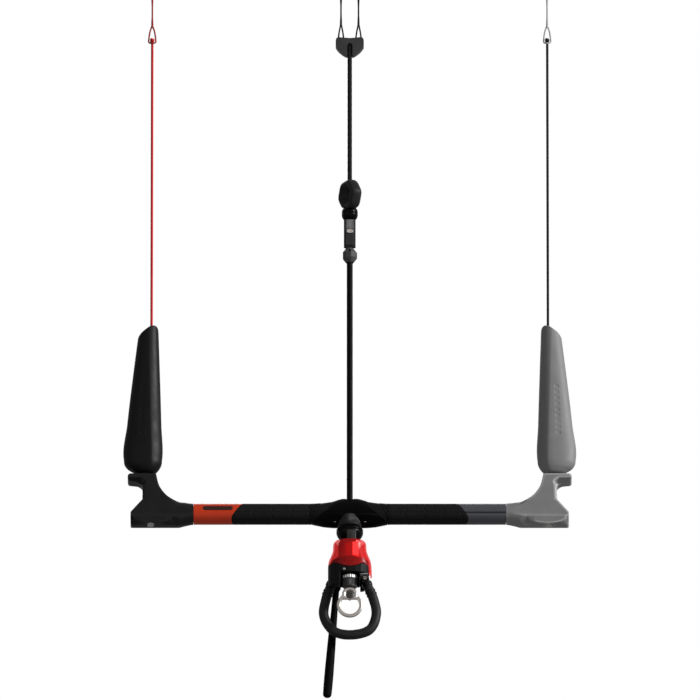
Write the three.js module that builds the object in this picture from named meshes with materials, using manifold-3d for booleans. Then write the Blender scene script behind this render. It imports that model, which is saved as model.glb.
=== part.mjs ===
// Kitesurf control bar set: a 20-inch bar that tilts and slides on a centre tube, with floats and
// line leaders at its ends, a trim cleat above it and a push-away quick release with its harness
// loop below it. Millimetres, +Z up, +X along the bar, -Y towards the rider. The origin is where
// the kite holds the set up: the level of the loops at the top ends of its four lines.
import * as THREE from 'three';
import { LoftGeometry } from 'three/addons/geometries/LoftGeometry.js';
import { mergeVertices } from 'three/addons/utils/BufferGeometryUtils.js';
import Module from 'manifold-3d';

const wasm = await Module();
wasm.setup();

// ---- driving dimensions ------------------------------------------------------------------------

const GAP = 0.3; // running gap between neighbours
const HANG = 655; // line loops down to the bar's axis
const BAR_HALF = 253.8; // half of the 20-inch bar
const GRIP_R = 12.2; // grip and colour sleeve
const TUBE_R = 9.5; // bar tube inside the grip
const TUBE_WALL = 1.6;
const HUB_HALF = 47; // hub's half length along the bar
const HUB_H = 16.8; // hub's half height
const HUB_D = 13.6; // hub's half depth, at its ridge
const SLEEVE_END = 181; // where grip sleeve and bar end meet
const LINE_X = 230; // outside lines, from the centre
const FRONT_X = 10.2; // front lines, from the centre
const CORE_R = 3.5; // centre tube
const BALL_R = 8.6; // bushing's ball
const COLLAR_R = 14; // bumper under the hub
const CUP_R = 15.5; // swivel cup
const CUP_TOP = -18.8; // leaves room for the bar's tilt
const FLOAT_BASE = 48.9;
const FLOAT_TOP = 229.5;
const NECK_TOP = 46.3; // top of the bar end's neck
const YOKE_BASE = 566.5;
const YOKE_TOP = 589.2;
const YOKE_FRONT = -3.6;
const YOKE_BACK = 6;
const LEADER_TOP = 588;
const LOOP_Y = 7; // plane of the harness loop
const LOOP_R = 5.65;
const LEASH_Y = -8; // axis of the leash swivel
const STICK_Y = 19.8; // plane of the loop's stick
const PIVOT_X = 19; // loop pins, from the centre
const PIVOT_Z = -79.5;
const RELEASE_RISE = 1.9; // added to every height of the release, its loop and its leash

// ---- geometry helpers --------------------------------------------------------------------------

function volumeOf(position, index) {
  const a = new THREE.Vector3();
  const b = new THREE.Vector3();
  const c = new THREE.Vector3();
  let sum = 0;
  for (let i = 0; i < index.length; i += 3) {
    a.fromBufferAttribute(position, index[i]);
    b.fromBufferAttribute(position, index[i + 1]);
    c.fromBufferAttribute(position, index[i + 2]);
    sum += a.dot(b.cross(c)) / 6;
  }
  return sum;
}

// One closed body: vertices shared, no flat triangles, faces pointing out.
function closed(geometry) {
  const bare = new THREE.BufferGeometry().copy(geometry);
  for (const name of ['normal', 'uv']) bare.deleteAttribute(name);
  const merged = mergeVertices(bare, 1e-4);
  const kept = [];
  const all = merged.index.array;
  for (let i = 0; i < all.length; i += 3) {
    const [a, b, c] = [all[i], all[i + 1], all[i + 2]];
    if (a !== b && b !== c && c !== a) kept.push(a, b, c);
  }
  if (volumeOf(merged.attributes.position, kept) < 0) kept.reverse();
  merged.setIndex(new THREE.BufferAttribute(new Uint32Array(kept), 1));
  return merged;
}

function solid(geometry) {
  const body = closed(geometry);
  return new wasm.Manifold(new wasm.Mesh({
    numProp: 3,
    vertProperties: body.attributes.position.array,
    triVerts: body.index.array,
  }));
}

function geometryOf(manifold) {
  const mesh = manifold.getMesh();
  const geometry = new THREE.BufferGeometry();
  geometry.setAttribute('position', new THREE.BufferAttribute(mesh.vertProperties, 3));
  geometry.setIndex(new THREE.BufferAttribute(mesh.triVerts, 1));
  return geometry;
}

function join(...geometries) {
  return geometryOf(geometries.map(solid).reduce((sum, next) => sum.add(next)));
}

function cut(geometry, ...tools) {
  return geometryOf(tools.map(solid).reduce((rest, tool) => rest.subtract(tool), solid(geometry)));
}

function common(first, ...others) {
  return geometryOf(others.map(solid).reduce((rest, other) => rest.intersect(other), solid(first)));
}

// A box from its lowest to its highest corner.
function box(low, high) {
  const size = high.map((value, i) => value - low[i]);
  return new THREE.BoxGeometry(...size)
    .translate(...low.map((value, i) => value + size[i] / 2));
}

// A body of revolution about the vertical axis; profile is [radius, height] pairs.
function turned(profile, segments = 32) {
  const points = profile.map(([r, z]) => new THREE.Vector2(r, z));
  return new THREE.LatheGeometry(points, segments).rotateX(Math.PI / 2);
}

function disc(radius, z0, z1, segments = 32) {
  return turned([[0, z0], [radius, z0], [radius, z1], [0, z1]], segments);
}

function ring(inner, outer, z0, z1, segments = 32) {
  return turned([[inner, z0], [outer, z0], [outer, z1], [inner, z1], [inner, z0]], segments);
}

// The same bodies lying along +Y or +X, from one coordinate to the other.
function pinY(radius, x, z, y0, y1, segments = 20) {
  return disc(radius, -y1, -y0, segments).rotateX(Math.PI / 2).translate(x, 0, z);
}

function pipeX(inner, outer, x0, x1, segments = 24) {
  return ring(inner, outer, x0, x1, segments).rotateY(Math.PI / 2);
}

// An outline drawn in the X-Z plane and carried from y0 to y1, with chamfered edges.
function slab(shape, y0, y1, chamfer = 0, curveSegments = 4) {
  const options = {
    depth: y1 - y0 - 2 * chamfer,
    bevelEnabled: chamfer > 0,
    bevelThickness: chamfer,
    bevelSize: chamfer,
    bevelOffset: -chamfer,
    bevelSegments: 1,
    curveSegments,
  };
  return new THREE.ExtrudeGeometry(shape, options).rotateX(Math.PI / 2).translate(0, y1 - chamfer, 0);
}

function polygon(points) {
  return new THREE.Shape(points.map(([x, y]) => new THREE.Vector2(x, y)));
}

function superellipse(rx, ry, power, count) {
  const points = [];
  for (let i = 0; i < count; i++) {
    const angle = (i / count) * 2 * Math.PI;
    const c = Math.cos(angle);
    const s = Math.sin(angle);
    const k = (Math.abs(c) ** power + Math.abs(s) ** power) ** (-1 / power);
    points.push([rx * c * k, ry * s * k]);
  }
  return points;
}

// Upright body through superellipse sections: rows of [z, xCentre, xRadius, yRadius].
function upright(rows, power = 2, count = 32) {
  const rising = [...rows].sort((a, b) => a[0] - b[0]);
  const sections = rising.map(([z, x, rx, ry]) => superellipse(rx, ry, power, count)
    .map(([u, v]) => new THREE.Vector3(x + u, v, z)));
  return new LoftGeometry(sections, { capStart: true, capEnd: true });
}

// Lying body through superellipse sections: rows of [x, zCentre, zRadius, yRadius, power].
function lying(rows, count = 32) {
  const sections = rows.map(([x, z, rz, ry, power]) => superellipse(ry, rz, power, count)
    .map(([u, v]) => new THREE.Vector3(x, u, z + v)));
  return new LoftGeometry(sections, { capStart: true, capEnd: true });
}

// A round strand along a smooth curve through the points.
function strand(points, radius, sides, steps) {
  const curve = new THREE.CatmullRomCurve3(points.map((p) => new THREE.Vector3(...p)), false, 'centripetal');
  return along(curve, radius, sides, steps);
}

function along(curve, radius, sides, steps) {
  const section = polygon(superellipse(radius, radius, 2, sides));
  return new THREE.ExtrudeGeometry(section, { extrudePath: curve, steps, bevelEnabled: false });
}

function mirrored(geometry) {
  return new THREE.BufferGeometry().copy(geometry).scale(-1, 1, 1);
}

// ---- materials and assembly --------------------------------------------------------------------

function material(color, roughness, metalness = 0) {
  return new THREE.MeshStandardMaterial({ color, roughness, metalness });
}

const BLACK_GLOSS = material(0x101011, 0.25);
const BLACK_MATT = material(0x1c1c1c, 0.55);
const EVA = material(0x161616, 0.75);
const GREY = material(0x707070, 0.5);
const ORANGE = material(0xb4350f, 0.4);
const SLATE = material(0x3a3c42, 0.35);
const RED_CLEAR = material(0xc41414, 0.15);
const STEEL = material(0xb8b6b2, 0.3, 1);
const NICKEL = material(0x9c958c, 0.35, 1);
const ALLOY = material(0x8c8f93, 0.4, 1);
const RED_CORD = material(0xb23a38, 0.7);
const DARK_RED = material(0x8a2323, 0.7);
const BLACK_CORD = material(0x1a1a1a, 0.8);
const GREY_CORD = material(0xa8a8a8, 0.7);
const WEBBING = material(0x606060, 0.8);

const set = new THREE.Group();
set.position.z = -HANG;

function add(name, geometry, mat) {
  const mesh = new THREE.Mesh(closed(geometry), mat);
  mesh.name = name;
  set.add(mesh);
}

// A part of the quick release, its loop or its leash.
function addRelease(name, geometry, mat) {
  add(name, geometry.translate(0, 0, RELEASE_RISE), mat);
}

// Both sides of the bar: the right one as drawn, the left one mirrored.
function addPair(name, geometry, rightMaterial, leftMaterial = rightMaterial) {
  add(`${name}_right`, geometry, rightMaterial);
  add(`${name}_left`, mirrored(geometry), leftMaterial);
}

// ---- lines and yoke ----------------------------------------------------------------------------

const WIRE_R = 0.95; // front and flying lines
const THROAT_R = 1.3; // where a line is spliced back into itself
const EYE_THROAT = 641; // below the eye at the top end

// Two strands from the throat round a bend and back, all buried in the splice at the throat.
function eyeStrand(x, y, throat, bend, reach) {
  const up = Math.sign(bend - throat);
  return strand([
    [x, y, throat - up * 2],
    [x - reach * 0.8, y, throat + (bend - throat) * 0.45],
    [x - reach, y, bend - up * reach],
    [x, y, bend],
    [x + reach, y, bend - up * reach],
    [x + reach * 0.8, y, throat + (bend - throat) * 0.45],
    [x, y, throat - up * 2],
  ], WIRE_R, 6, 12);
}

function splicedLine(x, y, lowerThroat, lowerEye) {
  const line = disc(WIRE_R, lowerThroat - 2, EYE_THROAT + 2, 6).translate(x, y, 0);
  const lowerSplice = disc(THROAT_R, lowerThroat - 1, lowerThroat + 12, 6).translate(x, y, 0);
  const upperSplice = disc(THROAT_R, EYE_THROAT - 12, EYE_THROAT + 1, 6).translate(x, y, 0);
  const upperEye = eyeStrand(x, y, EYE_THROAT, HANG - WIRE_R, 2.4);
  return join(line, lowerSplice, upperSplice, upperEye, lowerEye);
}

const YOKE_PIN_Z = 583.2;
const YOKE_PIN_R = 1;
const FRONT_Y = (YOKE_FRONT + YOKE_BACK) / 2;

function yokeOutline() {
  const w = 16.4;
  const tip = 4.5;
  const corner = 4.4;
  const shape = new THREE.Shape();
  shape.moveTo(-tip, YOKE_BASE);
  shape.lineTo(tip, YOKE_BASE);
  shape.quadraticCurveTo(12.5, YOKE_BASE + 4.5, w, YOKE_BASE + 11.5);
  shape.lineTo(w, YOKE_TOP - corner);
  shape.quadraticCurveTo(w, YOKE_TOP, w - corner, YOKE_TOP);
  shape.quadraticCurveTo(0, YOKE_TOP - 1.2, corner - w, YOKE_TOP);
  shape.quadraticCurveTo(-w, YOKE_TOP, -w, YOKE_TOP - corner);
  shape.lineTo(-w, YOKE_BASE + 11.5);
  shape.quadraticCurveTo(-12.5, YOKE_BASE + 4.5, -tip, YOKE_BASE);
  return shape;
}

const TRIM_R = 2.65; // trim line
const TRIM_TOP = 580;

function yoke() {
  const grooveR = TRIM_R + GAP;
  const low = YOKE_BASE - 5;
  const tools = [
    disc(grooveR, low, TRIM_TOP + 1, 20),
    box([-grooveR, YOKE_FRONT - 1, low], [grooveR, 0, TRIM_TOP + 1]),
  ];
  for (const side of [-1, 1]) {
    const x = side * FRONT_X;
    tools.push(box([x - 4.3, FRONT_Y - 2.6, YOKE_PIN_Z - 4], [x + 4.3, FRONT_Y + 2.6, YOKE_TOP + 2]));
    tools.push(pinY(YOKE_PIN_R + GAP, x, YOKE_PIN_Z, YOKE_FRONT + 0.7, YOKE_BACK + 1));
  }
  return cut(slab(yokeOutline(), YOKE_FRONT, YOKE_BACK, 1.4), ...tools);
}

add('yoke', yoke(), BLACK_MATT);
for (const [side, name] of [[-1, 'left'], [1, 'right']]) {
  const x = side * FRONT_X;
  add(`yoke_pin_${name}`, pinY(YOKE_PIN_R, x, YOKE_PIN_Z, YOKE_FRONT + 1, YOKE_BACK - 0.2, 12), STEEL);
  const bend = YOKE_PIN_Z - YOKE_PIN_R - WIRE_R - 2 * GAP;
  const eye = eyeStrand(x, FRONT_Y, 606, bend, 3);
  add(`front_line_${name}`, splicedLine(x, FRONT_Y, 606, eye), BLACK_CORD);
}
add('trim_line', disc(TRIM_R, 371, TRIM_TOP, 12), BLACK_CORD);

// ---- trim cleat, webbing and centre tube -------------------------------------------------------

const HEAD_R = 9.4;
const HEAD_LOW = 363.5;
const HEAD_TOP = 378;

function cleatHead() {
  const bore = TRIM_R + GAP;
  return turned([
    [bore, HEAD_LOW], [6.6, HEAD_LOW], [8.6, HEAD_LOW + 2], [HEAD_R, HEAD_LOW + 5],
    [HEAD_R, HEAD_TOP - 5], [8.6, HEAD_TOP - 2], [6.6, HEAD_TOP], [bore, HEAD_TOP], [bore, HEAD_LOW],
  ], 20);
}

const WEB_W = 14.2;
const WEB_D = 6.4;
const WEB_LOW = 329;

function roundedBar(width, depth, z0, z1) {
  return upright([[z0, 0, width / 2, depth / 2], [z1, 0, width / 2, depth / 2]], 6, 24);
}

function panel(z0, z1) {
  const front = -WEB_D / 2 - GAP;
  return slab(polygon([[-5, z0], [5, z0], [5, z1], [-5, z1]]), front - 1, front, 0.3);
}

// Round body that joins the webbing to the centre tube, with a drain hole near its top.
const JOINT_Z = 318.8;

function tubeJoint() {
  const r = 9;
  const profile = [];
  const steps = 8;
  for (let i = 0; i <= steps; i++) {
    const angle = -1.02 + (i / steps) * 2.04;
    profile.push([r * Math.cos(angle), JOINT_Z + 1.12 * r * Math.sin(angle)]);
  }
  const low = profile[0][1];
  const top = profile[steps][1];
  const body = turned([[0, low], ...profile, [0, top]], 12);
  return cut(body, disc(CORE_R + GAP, low - 1, JOINT_Z - 1, 20), pinY(1.2, 0, JOINT_Z + 4, -r - 1, -3, 12));
}

// Shallow bowl that the rider pulls, threaded on the trim line beside its centre.
function trimToggle() {
  const bowl = turned([
    [0, -3], [3.6, -3], [15.2, 7], [17.4, 7], [18.8, 5.4], [19.6, 0], [18.2, -5.4], [15.6, -7], [0, -7],
  ], 20);
  const opening = new THREE.Vector3(-0.87, -0.48, -0.1).normalize();
  const turn = new THREE.Quaternion().setFromUnitVectors(new THREE.Vector3(0, 0, 1), opening);
  bowl.applyQuaternion(turn).translate(0.35, -7.8, 391);
  const clearHead = disc(HEAD_R + GAP, 350, HEAD_TOP + GAP, 28);
  return cut(bowl, disc(TRIM_R + GAP, 350, 430, 20), clearHead);
}

add('trim_cleat_head', cleatHead(), BLACK_GLOSS);
add('trim_webbing', roundedBar(WEB_W, WEB_D, WEB_LOW, HEAD_LOW - GAP), BLACK_MATT);
add('stitch_panel_upper', panel(345.2, 362.6), WEBBING);
add('stitch_panel_lower', panel(330.5, 344.6), BLACK_CORD);
add('trim_badge', pinY(3.3, 0, 347.6, -WEB_D / 2 - 2.6, -WEB_D / 2 - 1.6, 20), STEEL);
add('tube_joint', tubeJoint(), GREY);
add('center_tube', ring(CORE_R - 1.4, CORE_R, -21.4, JOINT_Z - 1.4, 20), BLACK_GLOSS);
add('swivel_head', disc(6.2, -28.6, -21.8, 24), STEEL);
add('trim_toggle', trimToggle(), BLACK_MATT);

// ---- bushing and hub ---------------------------------------------------------------------------

function centerBushing() {
  return cut(new THREE.SphereGeometry(BALL_R - 0.1, 14, 8), disc(CORE_R + GAP, -10, 10, 20));
}

const COLLAR_TOP = -3;
const LIP_R = 8.2; // mouth of the ball's seat

function hubBumper() {
  const low = -HUB_H + 0.3;
  return turned([
    [LIP_R, low], [COLLAR_R - 1, low], [COLLAR_R, low + 1], [COLLAR_R, COLLAR_TOP],
    [LIP_R + 0.6, COLLAR_TOP], [LIP_R, COLLAR_TOP - 1.4], [LIP_R, low],
  ], 20);
}

const HUB_SCREWS = [[-17.4, -6.4], [17.4, -6.4], [-17.4, 6.4], [17.4, 6.4]];
const HUB_SCREW_Z = -13.6;

function hubBody() {
  const rows = [];
  for (const x of [-HUB_HALF, -34, -20, 0, 20, 34, HUB_HALF]) {
    const t = Math.min(1, (HUB_HALF - Math.abs(x)) / (HUB_HALF - 12));
    const ease = t * t * (3 - 2 * t);
    rows.push([x, 0, GRIP_R + (HUB_H - GRIP_R) * ease, GRIP_R + (HUB_D - GRIP_R) * ease, 2 - 0.35 * ease]);
  }
  const tools = [
    disc(LIP_R, -20, 20, 20),
    new THREE.SphereGeometry(BALL_R + GAP, 14, 8),
    disc(COLLAR_R + GAP, -20, COLLAR_TOP + GAP, 20),
    pipeX(0, TUBE_R + GAP, 19.5, HUB_HALF + 1),
    pipeX(0, TUBE_R + GAP, -HUB_HALF - 1, -19.5),
  ];
  for (const [x, y] of HUB_SCREWS) {
    tools.push(disc(2.3, -20, HUB_SCREW_Z + 2.3, 10).translate(x, y, 0));
  }
  return cut(lying(rows, 20), ...tools);
}

// Pan-head screw pointing up, its head's outer face at z with a cross cut in it.
function panScrew(radius, z) {
  const head = turned([
    [0, z], [radius * 0.75, z], [radius, z + 0.5], [radius, z + 1.4],
    [radius * 0.5, z + 1.4], [radius * 0.5, z + 2], [0, z + 2],
  ], 12);
  const slotHalf = radius * 0.14;
  const reach = radius * 0.55;
  const crossA = box([-reach, -slotHalf, z - 1], [reach, slotHalf, z + 0.6]);
  const crossB = box([-slotHalf, -reach, z - 1], [slotHalf, reach, z + 0.6]);
  return cut(head, crossA, crossB);
}

const hub = hubBody();
const FAR = 300;
add('hub_shell_front', common(hub, box([-FAR, -FAR, -FAR], [FAR, -GAP / 2, FAR])), BLACK_GLOSS);
add('hub_shell_back', common(hub, box([-FAR, GAP / 2, -FAR], [FAR, FAR, FAR])), BLACK_GLOSS);
add('hub_bumper', hubBumper(), BLACK_MATT);
add('center_bushing', centerBushing(), STEEL);
HUB_SCREWS.forEach(([x, y], i) => {
  add(`hub_screw_${i + 1}`, panScrew(2, HUB_SCREW_Z).translate(x, y, 0), STEEL);
});

// ---- bar tubes, grips and colour sleeves -------------------------------------------------------

const TUBE_END = 205;

// The S-shaped boundary between grip and colour sleeve, as the outline on its outer side.
function sleeveSide(offset) {
  const top = 121.5 + offset;
  const low = 136.5 + offset;
  const shape = new THREE.Shape();
  shape.moveTo(SLEEVE_END + 40, -20);
  shape.lineTo(SLEEVE_END + 40, 20);
  shape.lineTo(top, 20);
  shape.lineTo(top, 12.5);
  shape.bezierCurveTo(top + 4, 11, low - 5, 1, low, -6);
  shape.quadraticCurveTo(low + 1.5, -9.5, low - 1, -12.5);
  shape.lineTo(low - 1, -20);
  return shape;
}

const wall = pipeX(TUBE_R + GAP, GRIP_R, HUB_HALF + GAP, SLEEVE_END - GAP);
const grip = cut(wall, slab(sleeveSide(0), -20, 20));
const colourSleeve = common(wall, slab(sleeveSide(GAP), -20, 20));
addPair('bar_tube', pipeX(TUBE_R - TUBE_WALL, TUBE_R, 20, TUBE_END, 20), ALLOY);
addPair('grip', grip, EVA);
addPair('colour_sleeve', colourSleeve, SLATE, ORANGE);

// ---- bar ends ----------------------------------------------------------------------------------

const KEEL_Z = -16;
const END_D = 14; // half depth
const NOTCH_X = 239.8; // bottom of the line-winding notch
const HORN_X = 257.2;

function barEndOutline() {
  const shape = new THREE.Shape();
  shape.moveTo(SLEEVE_END + GAP, -12.2);
  shape.lineTo(200, KEEL_Z);
  shape.lineTo(BAR_HALF - 3, KEEL_Z);
  shape.quadraticCurveTo(BAR_HALF, KEEL_Z, BAR_HALF, KEEL_Z + 3);
  shape.lineTo(BAR_HALF, -1);
  shape.lineTo(NOTCH_X + 0.4, 14.5);
  shape.lineTo(NOTCH_X, 29);
  shape.quadraticCurveTo(NOTCH_X + 0.4, 36.5, NOTCH_X + 8, 37.4);
  shape.lineTo(HORN_X - 2, 38.2);
  shape.quadraticCurveTo(HORN_X, 38.4, HORN_X, 40.4);
  shape.lineTo(HORN_X, 43.5);
  shape.quadraticCurveTo(HORN_X, NECK_TOP, HORN_X - 3, NECK_TOP);
  shape.lineTo(224.3, NECK_TOP);
  shape.bezierCurveTo(220, 30, 212, 15.5, SLEEVE_END + GAP, 12.6);
  return shape;
}

// Half section across the bar: upright sides, then two facets down to a narrow keel.
const FACET_HIGH = [10, -13.2];
const FACET_RIDGE = -5.8;
const FACET_LOW = [2.6, KEEL_Z];

function barEndSection() {
  const [yh, zh] = FACET_HIGH;
  const [yl, zl] = FACET_LOW;
  const shape = polygon([
    [-yl, zl - 1], [yl, zl - 1], [yl, zl], [yh, zh], [END_D, FACET_RIDGE], [END_D, 60],
    [-END_D, 60], [-END_D, FACET_RIDGE], [-yh, zh], [-yl, zl],
  ]);
  const length = 90;
  return new THREE.ExtrudeGeometry(shape, { depth: length, bevelEnabled: false })
    .applyMatrix4(new THREE.Matrix4().set(0, 0, 1, SLEEVE_END - 5, 1, 0, 0, 0, 0, 1, 0, 0, 0, 0, 0, 1));
}

// The round start that meets the sleeve, opening out to the full section.
function barEndEnvelope() {
  return lying([
    [SLEEVE_END, 0.2, 12.6, 12.2, 2], [190, 0, 14.2, 13, 2.1], [200, 0.3, 16.9, 14, 2.5],
    [206, 1.8, 18.4, 14.4, 3], [213, 4.6, 21.6, 14.6, 5], [225, 20, 40, 14.6, 8], [270, 20, 40, 14.6, 8],
  ], 24);
}

// Places a part drawn pointing up so that it sits on the lower front facet, along its normal.
const SCREW_X = 230.5;
const facetRun = new THREE.Vector2(FACET_LOW[0] - FACET_HIGH[0], FACET_LOW[1] - FACET_HIGH[1]).normalize();
const facetAngle = Math.atan2(-facetRun.y, -facetRun.x);

function onFacet(geometry) {
  const y = -(FACET_HIGH[0] + FACET_LOW[0]) / 2;
  const z = (FACET_HIGH[1] + FACET_LOW[1]) / 2;
  return geometry.rotateX(-facetAngle).translate(SCREW_X, y, z);
}

const END_SCREW_R = 4.2;

function barEnd() {
  const tools = [
    pipeX(0, TUBE_R + GAP, SLEEVE_END - 5, TUBE_END + 1),
    onFacet(disc(END_SCREW_R + GAP, -5, 2.3, 20)),
    disc(4.6, 36, NECK_TOP + 1, 20).translate(LINE_X, 0, 0),
  ];
  return cut(common(slab(barEndOutline(), -15, 15, 1.2), barEndSection(), barEndEnvelope()), ...tools);
}

addPair('bar_end', barEnd(), GREY, BLACK_MATT);
addPair('end_screw', onFacet(panScrew(END_SCREW_R, 0)), STEEL);
addPair('leader_knot', new THREE.SphereGeometry(3.6, 10, 6).translate(LINE_X, 0, 40.5), BLACK_CORD);

// ---- floats, leaders and flying lines ----------------------------------------------------------

const LEADER_R = 1.5;

// Rows of [z, inner edge, outer edge, half depth].
const FLOAT_ROWS = [
  [FLOAT_BASE, 227.5, 245, 8], [52.4, 223, 251.8, 12], [55.5, 220.6, 256.8, 14], [60, 218.3, 261, 15.6],
  [67, 217.3, 261.9, 16], [FLOAT_TOP + 6, 222.2, 243.6, 12.2],
];

function floatCrown() {
  const shape = new THREE.Shape();
  shape.moveTo(215, 40);
  shape.lineTo(270, 40);
  shape.lineTo(270, 212);
  shape.lineTo(246.6, 214.5);
  shape.quadraticCurveTo(244.6, 218.6, 240, 222.2);
  shape.lineTo(231, FLOAT_TOP - 1);
  shape.quadraticCurveTo(229, FLOAT_TOP, 225.6, FLOAT_TOP);
  shape.quadraticCurveTo(222.3, FLOAT_TOP - 0.4, 221.8, FLOAT_TOP - 5);
  shape.lineTo(215, FLOAT_TOP - 8);
  return shape;
}

function float() {
  const rows = FLOAT_ROWS.map(([z, inner, outer, depth]) => [z, (inner + outer) / 2, (outer - inner) / 2, depth]);
  return cut(common(upright(rows, 2.5, 20), slab(floatCrown(), -20, 20)),
    disc(LEADER_R + GAP, 40, 240, 10).translate(LINE_X, 0, 0));
}

function leader() {
  const knot = new THREE.SphereGeometry(2.5, 10, 6).translate(LINE_X, 0, LEADER_TOP - 1.5);
  return join(disc(LEADER_R, FLOAT_BASE, LEADER_TOP - 1, 12).translate(LINE_X, 0, 0), knot);
}

// The flying line's lower eye passes round the leader, below its knot.
function flyingLine() {
  const throat = 603;
  const side = 3.9;
  const eye = strand([
    [LINE_X, 0, throat + 2], [LINE_X - 2.6, 0, throat - 6], [LINE_X - side, 0, LEADER_TOP],
    [LINE_X - side, -0.6, LEADER_TOP - 4.5], [LINE_X, -2.9, LEADER_TOP - 6.6],
    [LINE_X + side, -0.6, LEADER_TOP - 4.5], [LINE_X + side, 0, LEADER_TOP],
    [LINE_X + 2.6, 0, throat - 6], [LINE_X, 0, throat + 2],
  ], WIRE_R, 6, 16);
  return splicedLine(LINE_X, 0, throat, eye);
}

addPair('float', float(), GREY, BLACK_MATT);
addPair('leader', leader(), BLACK_CORD, RED_CORD);
addPair('flying_line', flyingLine(), GREY_CORD, DARK_RED);

// ---- swivel and quick release ------------------------------------------------------------------

const CAP_LOW = -21;
const STEM_R = 7.5;
const STEM_LOW = -42.8;

function swivelCap() {
  return turned([
    [CORE_R + 0.7, CAP_LOW], [CUP_R, CAP_LOW], [CUP_R, CUP_TOP - 0.8],
    [CUP_R - 0.8, CUP_TOP], [CORE_R + 0.7, CUP_TOP], [CORE_R + 0.7, CAP_LOW],
  ], 20);
}

function swivelCup() {
  const top = CAP_LOW - GAP;
  const cup = turned([
    [0, STEM_LOW], [STEM_R, STEM_LOW], [STEM_R, -31.6], [11.8, -30.2], [14.4, -27.6],
    [CUP_R, -24.4], [CUP_R, top], [7, top], [7, -29.4], [0, -29.4],
  ], 20);
  const post = box([-3.4, -20, -37], [7.3, -9, -24]);
  return join(cup, cut(common(post, disc(CUP_R + 0.2, -40, -20, 24)), disc(12.4, -40, -30.6, 24)));
}

const SLEEVE_ROWS = [
  [-37, 18.3, 18], [-38.2, 19.1, 18.5], [-40.5, 19.4, 18.7], [-48, 19.6, 18.8],
  [-60.5, 24.4, 18.9], [-66, 25.2, 19], [-83, 25.8, 19.1],
];
const SLEEVE_WALL = 1.7;
const SHELF_Z = -58;

function sleeveRows(inset) {
  return SLEEVE_ROWS.map(([z, rx, ry]) => [z, 0, rx - inset, ry - inset]);
}

// The sleeve's wavy lower edge, with a tongue down its right side, as the outline above it.
function aboveWave(drop) {
  const shape = new THREE.Shape();
  shape.moveTo(30, -20);
  shape.lineTo(-30, -20);
  shape.lineTo(-30, -66 - drop);
  shape.quadraticCurveTo(-18, -65 - drop, -14.8, -66.7 - drop);
  shape.quadraticCurveTo(-7, -71.5 - drop, 0, -71.5 - drop);
  shape.quadraticCurveTo(7, -71.5 - drop, 14.2, -66.7 - drop);
  shape.quadraticCurveTo(18, -66 - drop, 21.4 - drop, -70 - drop);
  shape.lineTo(22 - drop, -79.6 - drop);
  shape.lineTo(30, -79.6 - drop);
  return shape;
}

function releaseSleeve() {
  const outer = upright(sleeveRows(0), 2.2, 24);
  const room = cut(upright([[-36, 0, 16.6, 16.3], ...sleeveRows(SLEEVE_WALL), [-84, 0, 24.1, 17.4]], 2.2, 24),
    ring(9.6, 40, SHELF_Z - 0.8, SHELF_Z + 0.8, 20));
  const loopRoom = box([18, 4, -90], [30, 30, -70.5]);
  return common(cut(outer, room, loopRoom), slab(aboveWave(0), -30, 30));
}

const STEPS_A_TURN = 8;

function releaseSpring() {
  const turns = 4;
  const low = SHELF_Z + 2;
  const high = -34.9;
  const points = [];
  const count = turns * STEPS_A_TURN;
  for (let i = 0; i <= count; i++) {
    const angle = (i / STEPS_A_TURN) * 2 * Math.PI;
    points.push([10.8 * Math.cos(angle), 10.8 * Math.sin(angle), low + ((high - low) * i) / count]);
  }
  return strand(points, 0.75, 5, count);
}

const BLOCK_LOW = -92;
const ROOF_Z = -78.2; // above the leash swivel
const SLOT_Y = [0.2, 13.8]; // the loop's ends turn in here
const BACK_Y = 15.5;

function housing() {
  const neck = disc(8.8, -64, -45, 20);
  const inner = upright([[BLOCK_LOW, 0, 22.9, 16.4], [-63, 0, 22.3, 16.2], [-59.6, 0, 20.4, 15]], 2.2, 24);
  const skin = cut(upright([[BLOCK_LOW, 0, 24.4, 18.2], [-86, 0, 25.2, 18.9], [-60, 0, 25.2, 18.9]], 2.2, 24),
    slab(aboveWave(GAP), -30, 30));
  const tools = [
    disc(11, -100, ROOF_Z, 20).translate(0, LEASH_Y, 0),
    box([-11, -30, -100], [11, LEASH_Y, ROOF_Z]),
    disc(4.4, -90, -70, 20).translate(0, LEASH_Y, 0),
    box([11.5, -30, -100], [30, SLOT_Y[1], ROOF_Z]),
    box([-30, SLOT_Y[0], -100], [-12, SLOT_Y[1], -71.5]),
    box([11.6, SLOT_Y[0], -100], [30, SLOT_Y[1], -71.5]),
    pinY(2.9, PIVOT_X - 1.5, PIVOT_Z, -1.2, 2, 20),
    box([-30, BACK_Y, -100], [30, 30, -71]),
    box([-12, SLOT_Y[0], -100], [12, 30, -85.5]),
    pinY(1.8, -6.4, -75.4, -30, -13, 16),
    pinY(1.7, -PIVOT_X, PIVOT_Z, -4, 30, 16),
    pinY(1.7, PIVOT_X - 1.5, PIVOT_Z, -4, 30, 16),
    pinY(1.5, -15.5, -84.6, 10, 30, 16),
  ];
  return cut(join(neck, inner, skin), ...tools);
}

add('swivel_cap', swivelCap(), BLACK_GLOSS);
add('swivel_cup', swivelCup(), BLACK_GLOSS);
addRelease('release_sleeve', releaseSleeve(), RED_CLEAR);
addRelease('release_spring', releaseSpring(), STEEL);
addRelease('release_housing', housing(), BLACK_MATT);
addRelease('housing_pin', pinY(1.5, -6.4, -75.4, -19.2, -13.3, 16), STEEL);
addRelease('latch_bar', box([12.2, -13, ROOF_Z - 1.9], [21, -1.6, ROOF_Z - GAP]), STEEL);

// ---- harness loop ------------------------------------------------------------------------------

const LATCH_X = PIVOT_X - 1.5;
const ARM_LEFT = [-22.4, LOOP_Y, -88.4];
const ARM_RIGHT = [20.8, LOOP_Y, -88];

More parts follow.
